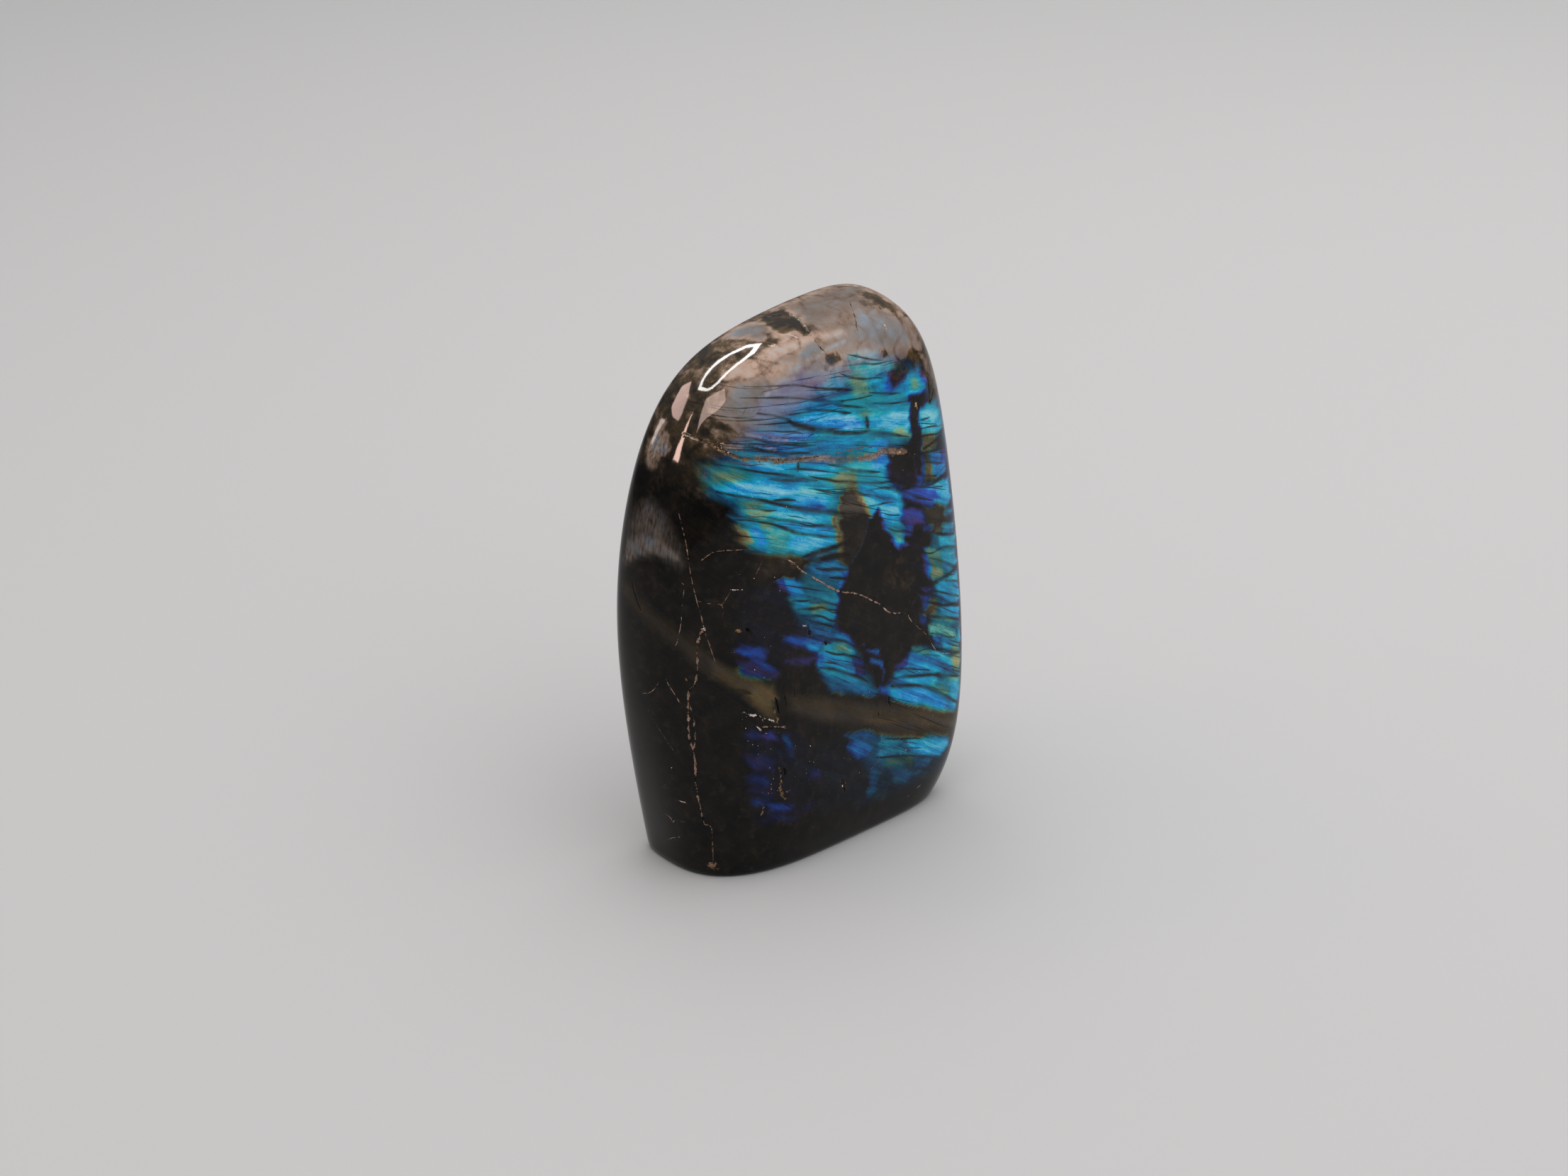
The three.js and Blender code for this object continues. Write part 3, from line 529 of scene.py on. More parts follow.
# Seams, cracks, scratches and pits: side, hue, depth of the groove (less than 0 stands proud), and the knots, each
# with half the width. On the "skin" a knot is x, y and z. Hues run from 0 black and .3 golden brown to .6 pinkish
# brown and 1 pale.
SEAMS = (
    # The golden brown seam from the shoulder across the wide face
    ("skin", .32, .35, "-31.6,4,100,.16 -30.4,-1.7,98.9,.32 -28.7,-4.9,97.5,.5 -26.1,-7.4,95.9,.36 -24,-8.3,95.3,.28 "
     "-22,-9.1,94.9,.34 -18,-9.8,93.9,.44 -15,-10.2,93.2,.38 -12,-10.4,92.7,.28 -8,-10.7,92.2,.22 -5,-10.9,91.9,.12"),
    ("front", .42, .25, "-5,91.4,.12 -1,90.3,.2 2,89.4,.2 6,88.9,.26 9,88.2,.34 13,88.1,.44 16,88.3,.4 19,87.1,.34 "
     "22,86.2,.22"),
    ("front", .32, .20, "-5,92.3,.06 0,91.4,.09 5,91,.12 8,90.7,.12 11,90,.12 13,89.2,.15 16,88.6,.19"),
    # The pink seam down the middle
    ("front", .62, .25, "-17.5,72,.06 -15.4,70.5,.12 -12.9,67.9,.15 -9.2,65.3,.19 -5.4,62.4,.19 -2.1,60.5,.17 "
     "2.7,58.7,.12 7.2,55.9,.1 9.8,54.1,.1 12.3,51.7,.12 17.8,49.8,.12 19.2,47.7,.08 24,43,.05 26,39.6,.05 "
     "28,37.4,.07 32,36,.09"),
    ("skin", .50, .10, "-35.5,-5.5,74.7,.06 -33.1,-7.4,76.5,.09 -26.9,-10.7,76.2,.07"),
    # The long crack down the left ridge
    ("skin", .62, .40, "-36.7,-7.1,59.6,.37 -37.7,-6.4,57.4,.19 -38.1,-6.3,53.9,.15 -38.2,-6.6,51,.15 "
     "-38.9,-6.3,47,.19 "
     "-39.8,-5.3,45.4,.15 -40,-5.4,41.3,.22 -40.1,-5.6,35.4,.17 -39.8,-6.2,32.4,.19 -39.4,-6.8,28.2,.19 "
     "-39.5,-6.8,24.6,.15 -39.3,-7,21.5,.19 -38.4,-8,14.8,.15 -38.3,-8.1,13.8,.12 -37.4,-9.4,13.2,.09 "
     "-37,-9.4,9.2,.12 -36.6,-9.1,4.8,.07"),
    ("skin", .62, .30, "-39.9,-5.5,42.5,.09 -39.7,-5.8,41.4,.14 -39.2,-6.5,37.6,.15 -39.3,-6.7,33.4,.12 "
     "-39.7,-6.3,32,.07"),
    ("front", .42, -.5, "-36.9,3.6,.62 -36.1,2.8,.68 -35.5,2.6,.43"),
    # Thin cracks that meet at the top of the long crack
    ("skin", .52, .10, "-36.9,.2,84.5,.05 -37.1,-1.1,81.5,.09 -37.2,-2.5,77.6,.09 -37.3,-4,71,.07 -37.2,-5.5,65.8,.08 "
     "-37,-6.6,62.5,.06 -36.7,-7.1,59.6,.12"),
    ("skin", .50, .08, "-37.2,-5.5,65.8,.06 -35.6,-7.6,65.2,.07 -33.6,-9.6,64.8,.08 -33.4,-9.8,62.6,.05"),
    ("skin", .45, .08, "-33.6,-9.6,64.8,.06 -31.6,-10.4,67.6,.05"),
    ("front", .95, .12, "-31.3,68,.09 -30.6,67.8,.12 -29.7,67.7,.09"),
    ("front", .45, .08, "-36.5,58.5,.06 -35.9,55,.07 -35.4,52,.05"),
    # Cracks and specks of the left flank
    ("flank", .62, .05, "-2.5,69.6,.03 -3.1,68.7,.05 -3.1,64.2,.06 -3.2,60.6,.04 -2.9,57.6,.06 -2.7,55.9,.12"),
    ("flank", .00, .30, "8.9,67.3,.12 7.6,64.8,.15 6.4,62.8,.22 5.6,61.8,.12"),
    ("flank", .62, .08, "-.8,47.5,.07 -1.8,45.8,.09 -2.6,44.6,.11 -3.9,42.3,.05"),
    ("flank", .6, .05, "5.6,42.7,.03 3.6,43.3,.05 2.1,44.5,.06 1,46.2,.03"),
    ("flank", .35, .10, "-4.6,48.4,.12 -4.9,48,.25"),
    ("flank", .7, .05, "1.5,13.7,.03 .2,13.3,.05 -.4,12.2,.13 -1.2,13.2,.04 -3.7,13.4,.03"),
    ("flank", .7, .05, "2.1,6.8,.07 .6,7.9,.03 -1.7,8.9,.06"),
    ("flank", .5, .03, "4,39,.03 -1,32.6,.03 -3,30,.03"),
    ("flank", .90, .10, "-1.6,26.4,.19 -1.3,25.6,.12"),
    ("flank", .80, .08, "-3.2,18.6,.12 -4.4,18.5,.12"),
    # Feathers, pits and crumbs of the lower wide face
    ("front", .95, .30, "-31,40.2,.07 -29.4,39.3,.22 -27.6,38.7,.12"),
    ("front", .95, .25, "-26.6,37.9,.09 -25,37.1,.22 -23.8,36.5,.12"),
    ("front", .62, .30, "-27.2,36.1,.09 -24.8,35.6,.22 -22.6,35,.19 -21.6,34.9,.06"),
    ("front", .90, .20, "-28.6,36.5,.07 -27.2,35,.19 -26,34.2,.09"),
    ("front", .34, .15, "-24,39.4,.19 -23.8,37.8,.31 -23.6,36.2,.25"),
    ("front", .00, .60, "-23.6,42,.19 -23.3,40.4,.28 -23.1,38.4,.15"),
    ("front", .00, .45, "-21.3,42,.15 -21.1,40.6,.22 -21.2,39.3,.12"),
    ("front", .00, .40, "-18.7,42.6,.12 -18.5,41.2,.15"),
    ("front", .00, .50, "-29,58.9,.25 -28.3,58.2,.43 -27.9,57.6,.25"),
    ("front", .36, .15, "-31,58.8,.19 -30.2,58.5,.28"),
    ("front", .05, .60, "-13.1,53.4,.19 -12.9,54.6,.37 -13.1,55.8,.25"),
    ("front", .90, .10, "-14.4,56.2,.15 -13.7,55.9,.19"),
    ("front", .00, .50, "-8.6,50.8,.19 -8.2,50,.31"),
    ("front", .00, .60, "10,32.4,.22 10,31.4,.31 10.1,30.4,.15"),
    ("front", .00, .40, "4.6,29.4,.19 4.7,28.8,.19"),
    ("front", .00, .40, "6.3,29.7,.19 6.3,29.1,.15"),
    ("front", .00, .40, "34.1,40.2,.12 34.4,39,.19"),
    ("front", .00, .60, "-22.9,25.4,.25 -22.5,24.5,.43 -22.7,23.7,.19"),
    ("front", .34, .30, "-24,25.8,.12 -23.5,23,.31 -23.9,20.4,.34 -23.2,18.4,.31 -22.2,18,.12"),
    ("front", .34, .20, "-22.4,19.7,.19 -21.3,19.6,.19"),
    ("front", .40, .15, "-28,17.2,.19 -28.3,16.2,.22 -28.6,15.4,.09"),
    ("front", .08, .60, "-6.2,17.4,.31 -5.9,16.3,.56 -5.5,15,.37 -5.3,14.2,.12"),
    ("front", .05, .40, "9.7,11.1,.15 10.1,10.7,.19"),
    ("front", .35, .00, "7.1,24.4,.05 5.9,18.5,.06 3.1,16.5,.05 1.9,10.4,.05"),
    ("front", .80, .00, "17,5,.05 19,5.9,.06 21,6.5,.05"),
    ("front", .30, .08, "15.2,32.6,.07 14.2,31,.06"),
    ("front", .30, .08, "-24,72.7,.07 -25,71.2,.09 -26,70,.06"),
    # Crown: the line of pits, chips at the back rim, and two cracks
    ("skin", .05, .35, "-.9,10.5,117.7,.19 3.4,7.1,118.2,.28 2.7,2.3,117.1,.31 1.9,0,116.3,.34 1.7,-1.7,115.5,.19 "
     "1.5,-4,113.8,.15 2.1,-5,112.8,.12"),
    ("skin", .15, .10, "18.7,3.5,118.8,.06 15.8,-.8,117,.11 14.3,-2.8,115.7,.12 13.3,-4.5,114.1,.06"),
    ("skin", .85, .30, "28.9,7.2,118.8,.15 28.3,9,119.2,.25 26,10,119.5,.19 24.6,10.8,119.7,.07"),
    ("skin", .05, .40, "24.7,-.1,117.2,.19 24.3,-.8,116.9,.22"),
    ("skin", .05, .40, "31.5,-1,114.8,.19 31.1,-1.4,114.4,.19"),
    ("front", .75, .10, "21.8,114.9,.19 22.2,114.1,.31 22,113.5,.12"),
    ("skin", .80, .10, "-2.6,1.6,116.3,.09 -1.9,.4,116,.19 -1.6,-.6,115.7,.09"),
    ("skin", .75, .10, "-8.6,1.4,115,.12 -8,.6,114.9,.22 -7.4,.8,115.1,.12"),
    ("front", .00, .35, "31.8,107,.15 32.2,106,.22"),
    ("front", .00, .30, "34.6,97.6,.07 33.4,96.2,.19 32,95.2,.15 32.4,99,.12 32.2,102,.06"),
    ("front", .36, .15, "26.6,96.6,.15 27,95.6,.37 27.6,94.9,.22"),
)
# The clump of golden crystals on the brown seam, and other clusters of grains that stand a little proud:
# the middle, how far they spread along and across, how many, their size, and whether they are golden or pale
GRAIN_CLUSTERS = (
    ((-28.8, -4.4, 98.3), 1.3, 24, .40, "golden"),
    ((-27.0, -6.0, 97.6), 1.0, 8, .22, "pale"),
    ((-23.8, -8.5, 20.4), 1.4, 18, .26, "golden"),
    ((-23.4, -8.6, 22.8), .8, 8, .22, "golden"),
    ((-21.6, -8.9, 19.6), .5, 5, .18, "golden"),
    ((27.1, -9.5, 95.6), .9, 12, .24, "golden"),
    ((26.6, -9.8, 95.8), .8, 8, .2, "pale"),
    ((-30.4, -10.0, 58.5), .6, 7, .22, "golden"),
    ((-25.2, -8.9, 36.6), 1.8, 14, .2, "pale"),
    ((-28.4, -9.2, 39.0), 1.2, 8, .18, "pale"),
    ((-13.8, -13.0, 56.0), .6, 6, .2, "pale"),
    ((-36.7, -7.1, 59.6), .7, 10, .22, "pale"),
    ((22.1, -4.1, 114.3), .7, 10, .18, "pale"),
    ((28.3, 8.4, 119.2), .9, 12, .2, "pale"),
    ((-5.8, -12.4, 15.6), .7, 6, .18, "pale"),
    ((-15.6, -13.3, 70.6), .9, 10, .2, "golden"),
    ((19.2, -11.4, 87.2), 1.4, 10, .2, "pale"),
    ((-2.2, 1.2, 116.2), .8, 8, .16, "pale"),
)
# Lone specks scattered over the whole skin
LONE_SPECKS = 520
GRAIN_SEED = 11


def pairs(text):
    """The numbers of an outline or path that is written out as text, one row for each knot."""
    return np.array([[float(number) for number in knot.split(",")] for knot in text.split()])


# Small helpers for trees of nodes

def add_node(tree, kind, *inputs, label="", **settings):
    """One node, with its settings and then its inputs in order, each a value or another node's output."""
    node = tree.nodes.new(kind)
    node.label = label
    for name, value in settings.items():
        setattr(node, name, value)
    for socket, value in zip(node.inputs, inputs):
        if isinstance(value, bpy.types.NodeSocket):
            tree.links.new(value, socket)
        elif value is not None:
            socket.default_value = value
    return node


def sum_of(tree, operation, a, b=None, c=None, clamp=False):
    """A Math node's answer."""
    return add_node(tree, "ShaderNodeMath", a, b, c, operation=operation, use_clamp=clamp).outputs[0]


def arrow(tree, operation, a, b=None):
    """A Vector Math node's answer."""
    node = add_node(tree, "ShaderNodeVectorMath", a, b, operation=operation)
    return node.outputs["Value" if operation in ("DOT_PRODUCT", "LENGTH") else "Vector"]


def step_between(tree, value, low, high):
    """0 below low and 1 above high, eased in between; the other way round where low is the larger."""
    node = add_node(tree, "ShaderNodeMapRange", interpolation_type="SMOOTHSTEP")
    tree.links.new(value, node.inputs["Value"])
    node.inputs["From Min"].default_value = min(low, high)
    node.inputs["From Max"].default_value = max(low, high)
    node.inputs["To Min"].default_value = 0.0 if low < high else 1.0
    node.inputs["To Max"].default_value = 1.0 if low < high else 0.0
    return node.outputs["Result"]


def shape_tree(name, *sockets):
    """An empty geometry tree with its group input and output, and the named inputs that it is given."""
    tree = bpy.data.node_groups.new(name, "GeometryNodeTree")
    tree.interface.new_socket("Geometry", in_out="INPUT", socket_type="NodeSocketGeometry")
    for label, kind in sockets:
        tree.interface.new_socket(label, in_out="INPUT", socket_type="NodeSocket" + kind)
    tree.interface.new_socket("Geometry", in_out="OUTPUT", socket_type="NodeSocketGeometry")
    return tree, tree.nodes.new("NodeGroupInput").outputs


def finish_tree(tree, geometry, material):
    """Ends a geometry tree as plain mesh in one material."""
    real = add_node(tree, "GeometryNodeRealizeInstances", geometry).outputs[0]
    painted = add_node(tree, "GeometryNodeSetMaterial", real, None, material).outputs[0]
    tree.links.new(painted, tree.nodes.new("NodeGroupOutput").inputs[0])
    return tree


def run_tree(tree, start, values):
    """The plain mesh that a tree makes from a starting mesh, with its named inputs set."""
    carrier = bpy.data.objects.new("carrier", start)
    bpy.context.scene.collection.objects.link(carrier)
    modifier = carrier.modifiers.new(tree.name, "NODES")
    modifier.node_group = tree
    for socket in tree.interface.items_tree:
        if socket.in_out == "INPUT" and socket.name in values:
            modifier[socket.identifier] = values[socket.name]
    depsgraph = bpy.context.evaluated_depsgraph_get()
    made = bpy.data.meshes.new_from_object(carrier.evaluated_get(depsgraph))
    bpy.data.objects.remove(carrier)
    return made


# The skin of the stone

def block_tree():
    """A sawn block of even cells that stands on the base plane."""
    tree, given = shape_tree(
        "Sawn block", ("Size", "Vector"), ("Cells across", "Int"), ("Cells deep", "Int"), ("Cells up", "Int"),
        ("Material", "Material"))
    corners = [sum_of(tree, "ADD", given[name], 1.0) for name in ("Cells across", "Cells deep", "Cells up")]
    block = add_node(tree, "GeometryNodeMeshCube", given["Size"], *corners).outputs["Mesh"]
    up = add_node(tree, "ShaderNodeVectorMath", given["Size"], (0, 0, 0.5), operation="MULTIPLY").outputs[0]
    standing = add_node(tree, "GeometryNodeSetPosition", block, None, None, up).outputs[0]
    return finish_tree(tree, standing, given["Material"])


def lapping_tree():
    """Moves every corner of a net straight out from the heart, or in, onto the lapped skin."""
    tree, given = shape_tree(
        "Lapping", ("Heart", "Vector"), ("Crispness", "Float"), ("Rim crispness", "Float"), ("Material", "Material"))
    here = tree.nodes.new("GeometryNodeInputPosition").outputs[0]
    from_heart = arrow(tree, "SUBTRACT", here, given["Heart"])
    total = None
    for name, (faces, tilt, distance) in FLATS.items():
        across, up = math.radians(faces), math.radians(tilt)
        facing = Vector((math.cos(up) * math.cos(across), math.cos(up) * math.sin(across), math.sin(up)))
        share = arrow(tree, "DOT_PRODUCT", from_heart, facing / ((distance - SKIN_GAP) * MM))
        share.node.label = name
        share = sum_of(tree, "POWER", sum_of(tree, "MAXIMUM", share, 0.0), given["Crispness"])
        total = share if total is None else sum_of(tree, "ADD", total, share)
    reach = sum_of(tree, "POWER", total, sum_of(tree, "DIVIDE", 1.0, given["Crispness"]))
    depth = add_node(tree, "ShaderNodeSeparateXYZ", from_heart).outputs["Z"]
    heart_height = add_node(tree, "ShaderNodeSeparateXYZ", given["Heart"]).outputs["Z"]
    sawn = sum_of(tree, "MAXIMUM", sum_of(tree, "DIVIDE", sum_of(tree, "MULTIPLY", depth, -1.0), heart_height), 0.0)
    far = sum_of(tree, "MAXIMUM", reach, sawn)
    near = sum_of(tree, "DIVIDE", sum_of(tree, "MINIMUM", reach, sawn), far)
    rounded = sum_of(tree, "ADD", sum_of(tree, "POWER", near, given["Rim crispness"]), 1.0)
    rounded = sum_of(tree, "POWER", rounded, sum_of(tree, "DIVIDE", 1.0, given["Rim crispness"]))
    out = arrow(tree, "SCALE", from_heart)
    tree.links.new(sum_of(tree, "DIVIDE", 1.0, sum_of(tree, "MULTIPLY", far, rounded)), out.node.inputs["Scale"])
    moved = add_node(tree, "GeometryNodeSetPosition", given["Geometry"], None, arrow(tree, "ADD", out, given["Heart"]))
    smooth = add_node(tree, "GeometryNodeSetShadeSmooth", moved.outputs[0]).outputs[0]
    return finish_tree(tree, smooth, given["Material"])


def places(mesh):
    """The corners of a mesh, in millimetres."""
    flat = np.empty(len(mesh.vertices) * 3)
    mesh.vertices.foreach_get("co", flat)
    return flat.reshape(-1, 3) / MM


def facings(mesh):
    """Which way each corner of a mesh faces."""
    flat = np.empty(len(mesh.vertices) * 3)
    mesh.vertex_normals.foreach_get("vector", flat)
    return flat.reshape(-1, 3)


def split_cells(mesh, chosen):
    """Splits into four every cell that has a chosen corner."""
    net = bmesh.new()
    net.from_mesh(mesh)
    edges = {edge for face in net.faces if any(chosen[v.index] for v in face.verts) for edge in face.edges}
    bmesh.ops.subdivide_edges(net, edges=list(edges), cuts=1, use_grid_fill=True)
    net.to_mesh(mesh)
    net.free()


def ease(value, low, high):
    """0 below low and 1 above high, with a smooth step between; the other way round where low is the larger."""
    share = np.clip((value - low) / (high - low), 0.0, 1.0)
    return share * share * (3.0 - 2.0 * share)


def drift(points, size, seed):
    """A smooth random arrow at each point, whose turns are about as long as the size."""
    shift = Vector((seed * 31.7, seed * 17.3, seed * 53.9))
    return np.array([noise.noise_vector(Vector(p) / size + shift) for p in points])


def sheet_fall(height):
    """How fast the sheets fall towards +X at that height."""
    return SHEET_FALL - SHEET_FALL_EASE * (height / 100) ** 3


def sheet_height(points):
    """Which sheet of the stone each point lies in."""
    return points[:, 2] + sheet_fall(points[:, 2]) * points[:, 0] - SHEET_RISE * points[:, 1]


# Paths that lie on the skin

def flowing(knots, steps=4):
    """A smooth run of rows through the knots of a path."""
    ends = np.vstack([2 * knots[0] - knots[1], knots, 2 * knots[-1] - knots[-2]])
    run = []
    for a, b, c, d in zip(ends, ends[1:], ends[2:], ends[3:]):
        for share in np.arange(steps) / steps:
            bend = (2 * a - 5 * b + 4 * c - d) * share**2 + (3 * b - a - 3 * c + d) * share**3
            run.append(0.5 * (2 * b + (c - a) * share + bend))
    return np.array(run + [knots[-1]])


def laid(surface, side, knots):
    """A path drawn on one side, or written in space, laid on the skin: its points, and half its width at each."""
    rows = flowing(knots)
    points = []
    for row in rows:
        if side == "skin":
            found = surface.find_nearest(Vector(row[:3]) * MM)[0]
        else:
            axes, look = SIDES[side]
            start = -FAR_OFF * Vector(look)
            start[axes[0]], start[axes[1]] = row[0], row[1]
            found = surface.ray_cast(start * MM, Vector(look))[0]
        points.append(found)
    kept = [index for index, point in enumerate(points) if point is not None]
    return np.array([points[index] for index in kept]) / MM, np.maximum(rows[kept, -1], 0.02)


def beside(points, normal, path, reach):
    """The corners within reach of a path: which, how far to its left, how far along it, and how far past its end."""
    near = np.all((points > path.min(0) - reach) & (points < path.max(0) + reach), axis=1)
    chosen = np.flatnonzero(near)
    here, out = points[chosen], normal[chosen]
    runs = np.diff(path, axis=0)
    lengths = np.maximum(np.linalg.norm(runs, axis=1), 1e-6)
    offset = here[:, None] - path[None, :-1]
    share = (offset * runs).sum(2) / lengths**2
    gap = offset - np.clip(share, 0, 1)[..., None] * runs
    gap -= (gap * out[:, None]).sum(2)[..., None] * out[:, None]
    away = np.linalg.norm(gap, axis=2)
    best = away.argmin(1)
    row = np.arange(len(chosen))
    left = np.sign((np.cross(out, runs[best]) * offset[row, best]).sum(1))
    share, away = share[row, best], away[row, best]
    past = np.maximum(-share * (best == 0), (share - 1) * (best == len(runs) - 1)) * lengths[best]
    within = away < reach
    along = best + np.clip(share, 0, 1)
    signed = away * np.where(left == 0, 1, left)
    return chosen[within], signed[within], along[within], np.maximum(past, 0)[within]


# How far from a path its distance is kept, past half its width, and how far its width holds
PATH_REACH = 1.6
WIDTH_HOLD = 0.8
OUT_OF_REACH = 9.0


def spread_out(paths):
    """Sorts laid paths into groups in which no two come within each other's reach."""
    groups = []
    for path in paths:
        for group in groups:
            apart = PATH_REACH + WIDTH_HOLD + path[1].max()
            if all(nearest(path[0], other[0]) > apart + other[1].max() for other in group):
                group.append(path)
                break
        else:
            groups.append([path])
    return groups


def nearest(one, other):
    """The shortest distance between two rows of points."""
    return np.linalg.norm(one[:, None] - other[None], axis=2).min()


def path_field(points, normal, group):
    """For one group of paths: each corner's distance to the left of the nearest, half its width, and its hue."""
    field = np.zeros((len(points), 3))
    field[:, 0] = OUT_OF_REACH
    for path, widths, hue in group:
        chosen, signed, along, past = beside(points, normal, path, widths.max() + PATH_REACH)
        half = np.interp(along, np.arange(len(widths)), widths)
        half *= (np.abs(signed) < half + WIDTH_HOLD) * np.clip(1 - past / 0.3, 0, 1)
        field[chosen] = np.stack([signed, half, np.full(len(chosen), hue)], axis=1)
    return field


def grown_sheets(surface):
    """Sheets at random places with a fixed seed: straight but for a little waviness, and thin at both ends."""
    paths = []
    for side, across, up, count, thickest, seed in GROWN_SHEETS:
        chance = np.random.default_rng(seed)
        for _ in range(count):
            start, height = chance.uniform(*across), chance.uniform(*up)
            length, film_and_reflection_amount = chance.uniform(4, 17), chance.uniform(0.3, 1) * thickest
            steps = np.linspace(0, 1, 5)
            run = start + length * (steps - 0.5)
            fall = (-SHEET_RISE if side == "right" else sheet_fall(height)) + chance.normal(0, 0.05)
            rise = height - fall * length * (steps - 0.5) + chance.normal(0, 0.07, 5)
            knots = np.stack([run, rise, film_and_reflection_amount * np.sin(np.pi * (0.08 + 0.84 * steps))], axis=1)
            paths.append(laid(surface, side, knots))
    return [path for path in paths if len(path[0]) > 3]


# Flashes, and veils with painted reflections among them

def side_share(normal, side):
    """How far each corner faces that side, from 0 to 1."""
    look = np.array(SIDES[side][1], dtype=float)
    return ease(-normal @ look, 0.2, 0.45)


def depth_inside(flat, outline):
    """How far inside an outline each point lies, and less than 0 outside it."""
    depth = np.full(len(flat), np.inf)
    inside = np.zeros(len(flat), dtype=bool)
    for start, end in zip(outline, np.roll(outline, -1, axis=0)):
        run = end - start
        offset = flat - start
        share = np.clip(offset @ run / max(run @ run, 1e-9), 0, 1)
        depth = np.minimum(depth, np.linalg.norm(offset - share[:, None] * run, axis=1))
        crosses = (start[1] > flat[:, 1]) != (end[1] > flat[:, 1])
        if run[1] != 0:
            inside ^= crosses & (flat[:, 0] < start[0] + (flat[:, 1] - start[1]) * run[0] / run[1])
    return np.where(inside, depth, -depth)


def lay_over(bent, shares, table):
    """Each corner's tone or hue, and its strength, once every outline of a table is laid over the last."""
    shade, strength = np.zeros(len(bent)), np.zeros(len(bent))
    for side, hue, full, soft, text in table:
        outline = pairs(text)
        flat = bent[:, SIDES[side][0]]
        low, high = outline.min(0) - soft, outline.max(0) + soft
        near = np.flatnonzero(np.all((flat > low) & (flat < high), axis=1) & (shares[side] > 0))
        cover = ease(depth_inside(flat[near], outline), -soft, soft) * shares[side][near]
        fresh = ease(strength[near], 0.25, 0.0)
        start = shade[near] + (hue - shade[near]) * fresh * (cover > 0)
        shade[near] = start + (hue - start) * cover
        strength[near] += (full - strength[near]) * cover
    return shade, strength


def frayed(points):
    """The corners, shifted a little at random along the sheets, so that whatever is drawn on them has frayed ends."""
    height = sheet_height(points)
    thin = np.stack([points[:, 0] * 0.1, points[:, 1] * 0.1, height * 1.1], axis=1)
    shift = drift(thin, 1.0, 3)[:, 0]
    along = np.stack([np.ones(len(points)), np.zeros(len(points)), -sheet_fall(points[:, 2])], axis=1)
    wander = 0.5 * drift(points, 6.0, 1) + 0.25 * drift(points, 2.0, 2) + 0.3 * drift(points, 1.0, 4)
    return points + wander + 1.1 * shift[:, None] * along


def paint(mesh, name, columns):
    """Stores up to three numbers for each corner of the mesh."""
    values = np.zeros((len(mesh.vertices), 3), dtype=np.float32)
    for index, column in enumerate(columns):
        values[:, index] = column
    layer = mesh.attributes.new(name, "FLOAT_VECTOR", "POINT")
    layer.data.foreach_set("vector", values.ravel())


def carve(points, normal, seams):
    """The corners, sunk into every groove and pit."""
    sunk = np.zeros(len(points))
    rough = 0.75 + 0.9 * drift(points, 0.9, 6)[:, 0]
    for path, widths, hue, depth in seams:
        chosen, signed, along, past = beside(points, normal, path, widths.max() + 0.2)
        half = np.interp(along, np.arange(len(widths)), widths) * np.clip(1 - past / 0.3, 0.05, 1)
        bowl = np.maximum(0, 1 - (signed / half) ** 2)
        sunk[chosen] += (depth * bowl * rough[chosen] - sunk[chosen]) * bowl
    return points - sunk[:, None] * normal


# The stone's material

def tone_ramp(tree, value):
    """The colour of each tone of the flash scale."""
    stops = (
        (0.0, (0.004, 0.004, 0.010)), (0.8, (0.10, 0.075, 0.38)), (1.2, (0.035, 0.085, 0.50)),
        (1.7, (0.012, 0.12, 0.60)), (2.3, (0.008, 0.27, 0.71)), (2.8, (0.003, 0.38, 0.65)),
        (3.3, (0.02, 0.44, 0.52)), (3.9, (0.22, 0.50, 0.33)), (4.5, (0.44, 0.42, 0.20)),
        (5.1, (0.30, 0.19, 0.07)), (5.5, (0.17, 0.14, 0.12)), (6.0, (0.05, 0.035, 0.02)))
    return blend_of(tree, sum_of(tree, "DIVIDE", value, 6.0), [(place / 6.0, colour) for place, colour in stops])


def blend_of(tree, value, stops):
    """A Color Ramp's answer."""
    ramp = add_node(tree, "ShaderNodeValToRGB", value)
    band = ramp.color_ramp
    while len(band.elements) < len(stops):
        band.elements.new(0.5)
    for element, (place, colour) in zip(band.elements, stops):
        element.position = place
    for element, (place, colour) in zip(band.elements, stops):
        element.color = (*colour, 1)
    return ramp.outputs["Color"]


def mixed(tree, share, a, b):
    """Colour a where the share is 0, and b where it is 1."""
    node = add_node(tree, "ShaderNodeMix", data_type="RGBA")
    for name, value in (("Factor", share), ("A", a), ("B", b)):
        if isinstance(value, bpy.types.NodeSocket):
            tree.links.new(value, node.inputs[name])
        else:
            node.inputs[name].default_value = (*value, 1)
    return node.outputs["Result"]


def grain_of(tree, place, scale, detail, rough):
    """A Noise Texture's answer, about 0.5 on average."""
    grain = add_node(tree, "ShaderNodeTexNoise", place, noise_dimensions="3D")
    grain.inputs["Scale"].default_value = scale
    grain.inputs["Detail"].default_value = detail
    grain.inputs["Roughness"].default_value = rough
    return grain.outputs["Fac"]


def off_middle(tree, grain):
    """How far a grain lies from its middle, above or below."""
    return sum_of(tree, "ABSOLUTE", sum_of(tree, "SUBTRACT", grain, 0.5))


def varied(tree, value, grain, amount, middle=0.5):
    """A value, raised by the amount where a grain lies above its middle and lowered where it lies below."""
    return sum_of(tree, "MULTIPLY_ADD", sum_of(tree, "SUBTRACT", grain, middle), amount, value)


def painted_with(tree, name):
    """The three numbers that the mesh stores at each corner under that name."""
    stored = add_node(tree, "ShaderNodeAttribute", attribute_name=name).outputs["Vector"]
    return add_node(tree, "ShaderNodeSeparateXYZ", stored).outputs


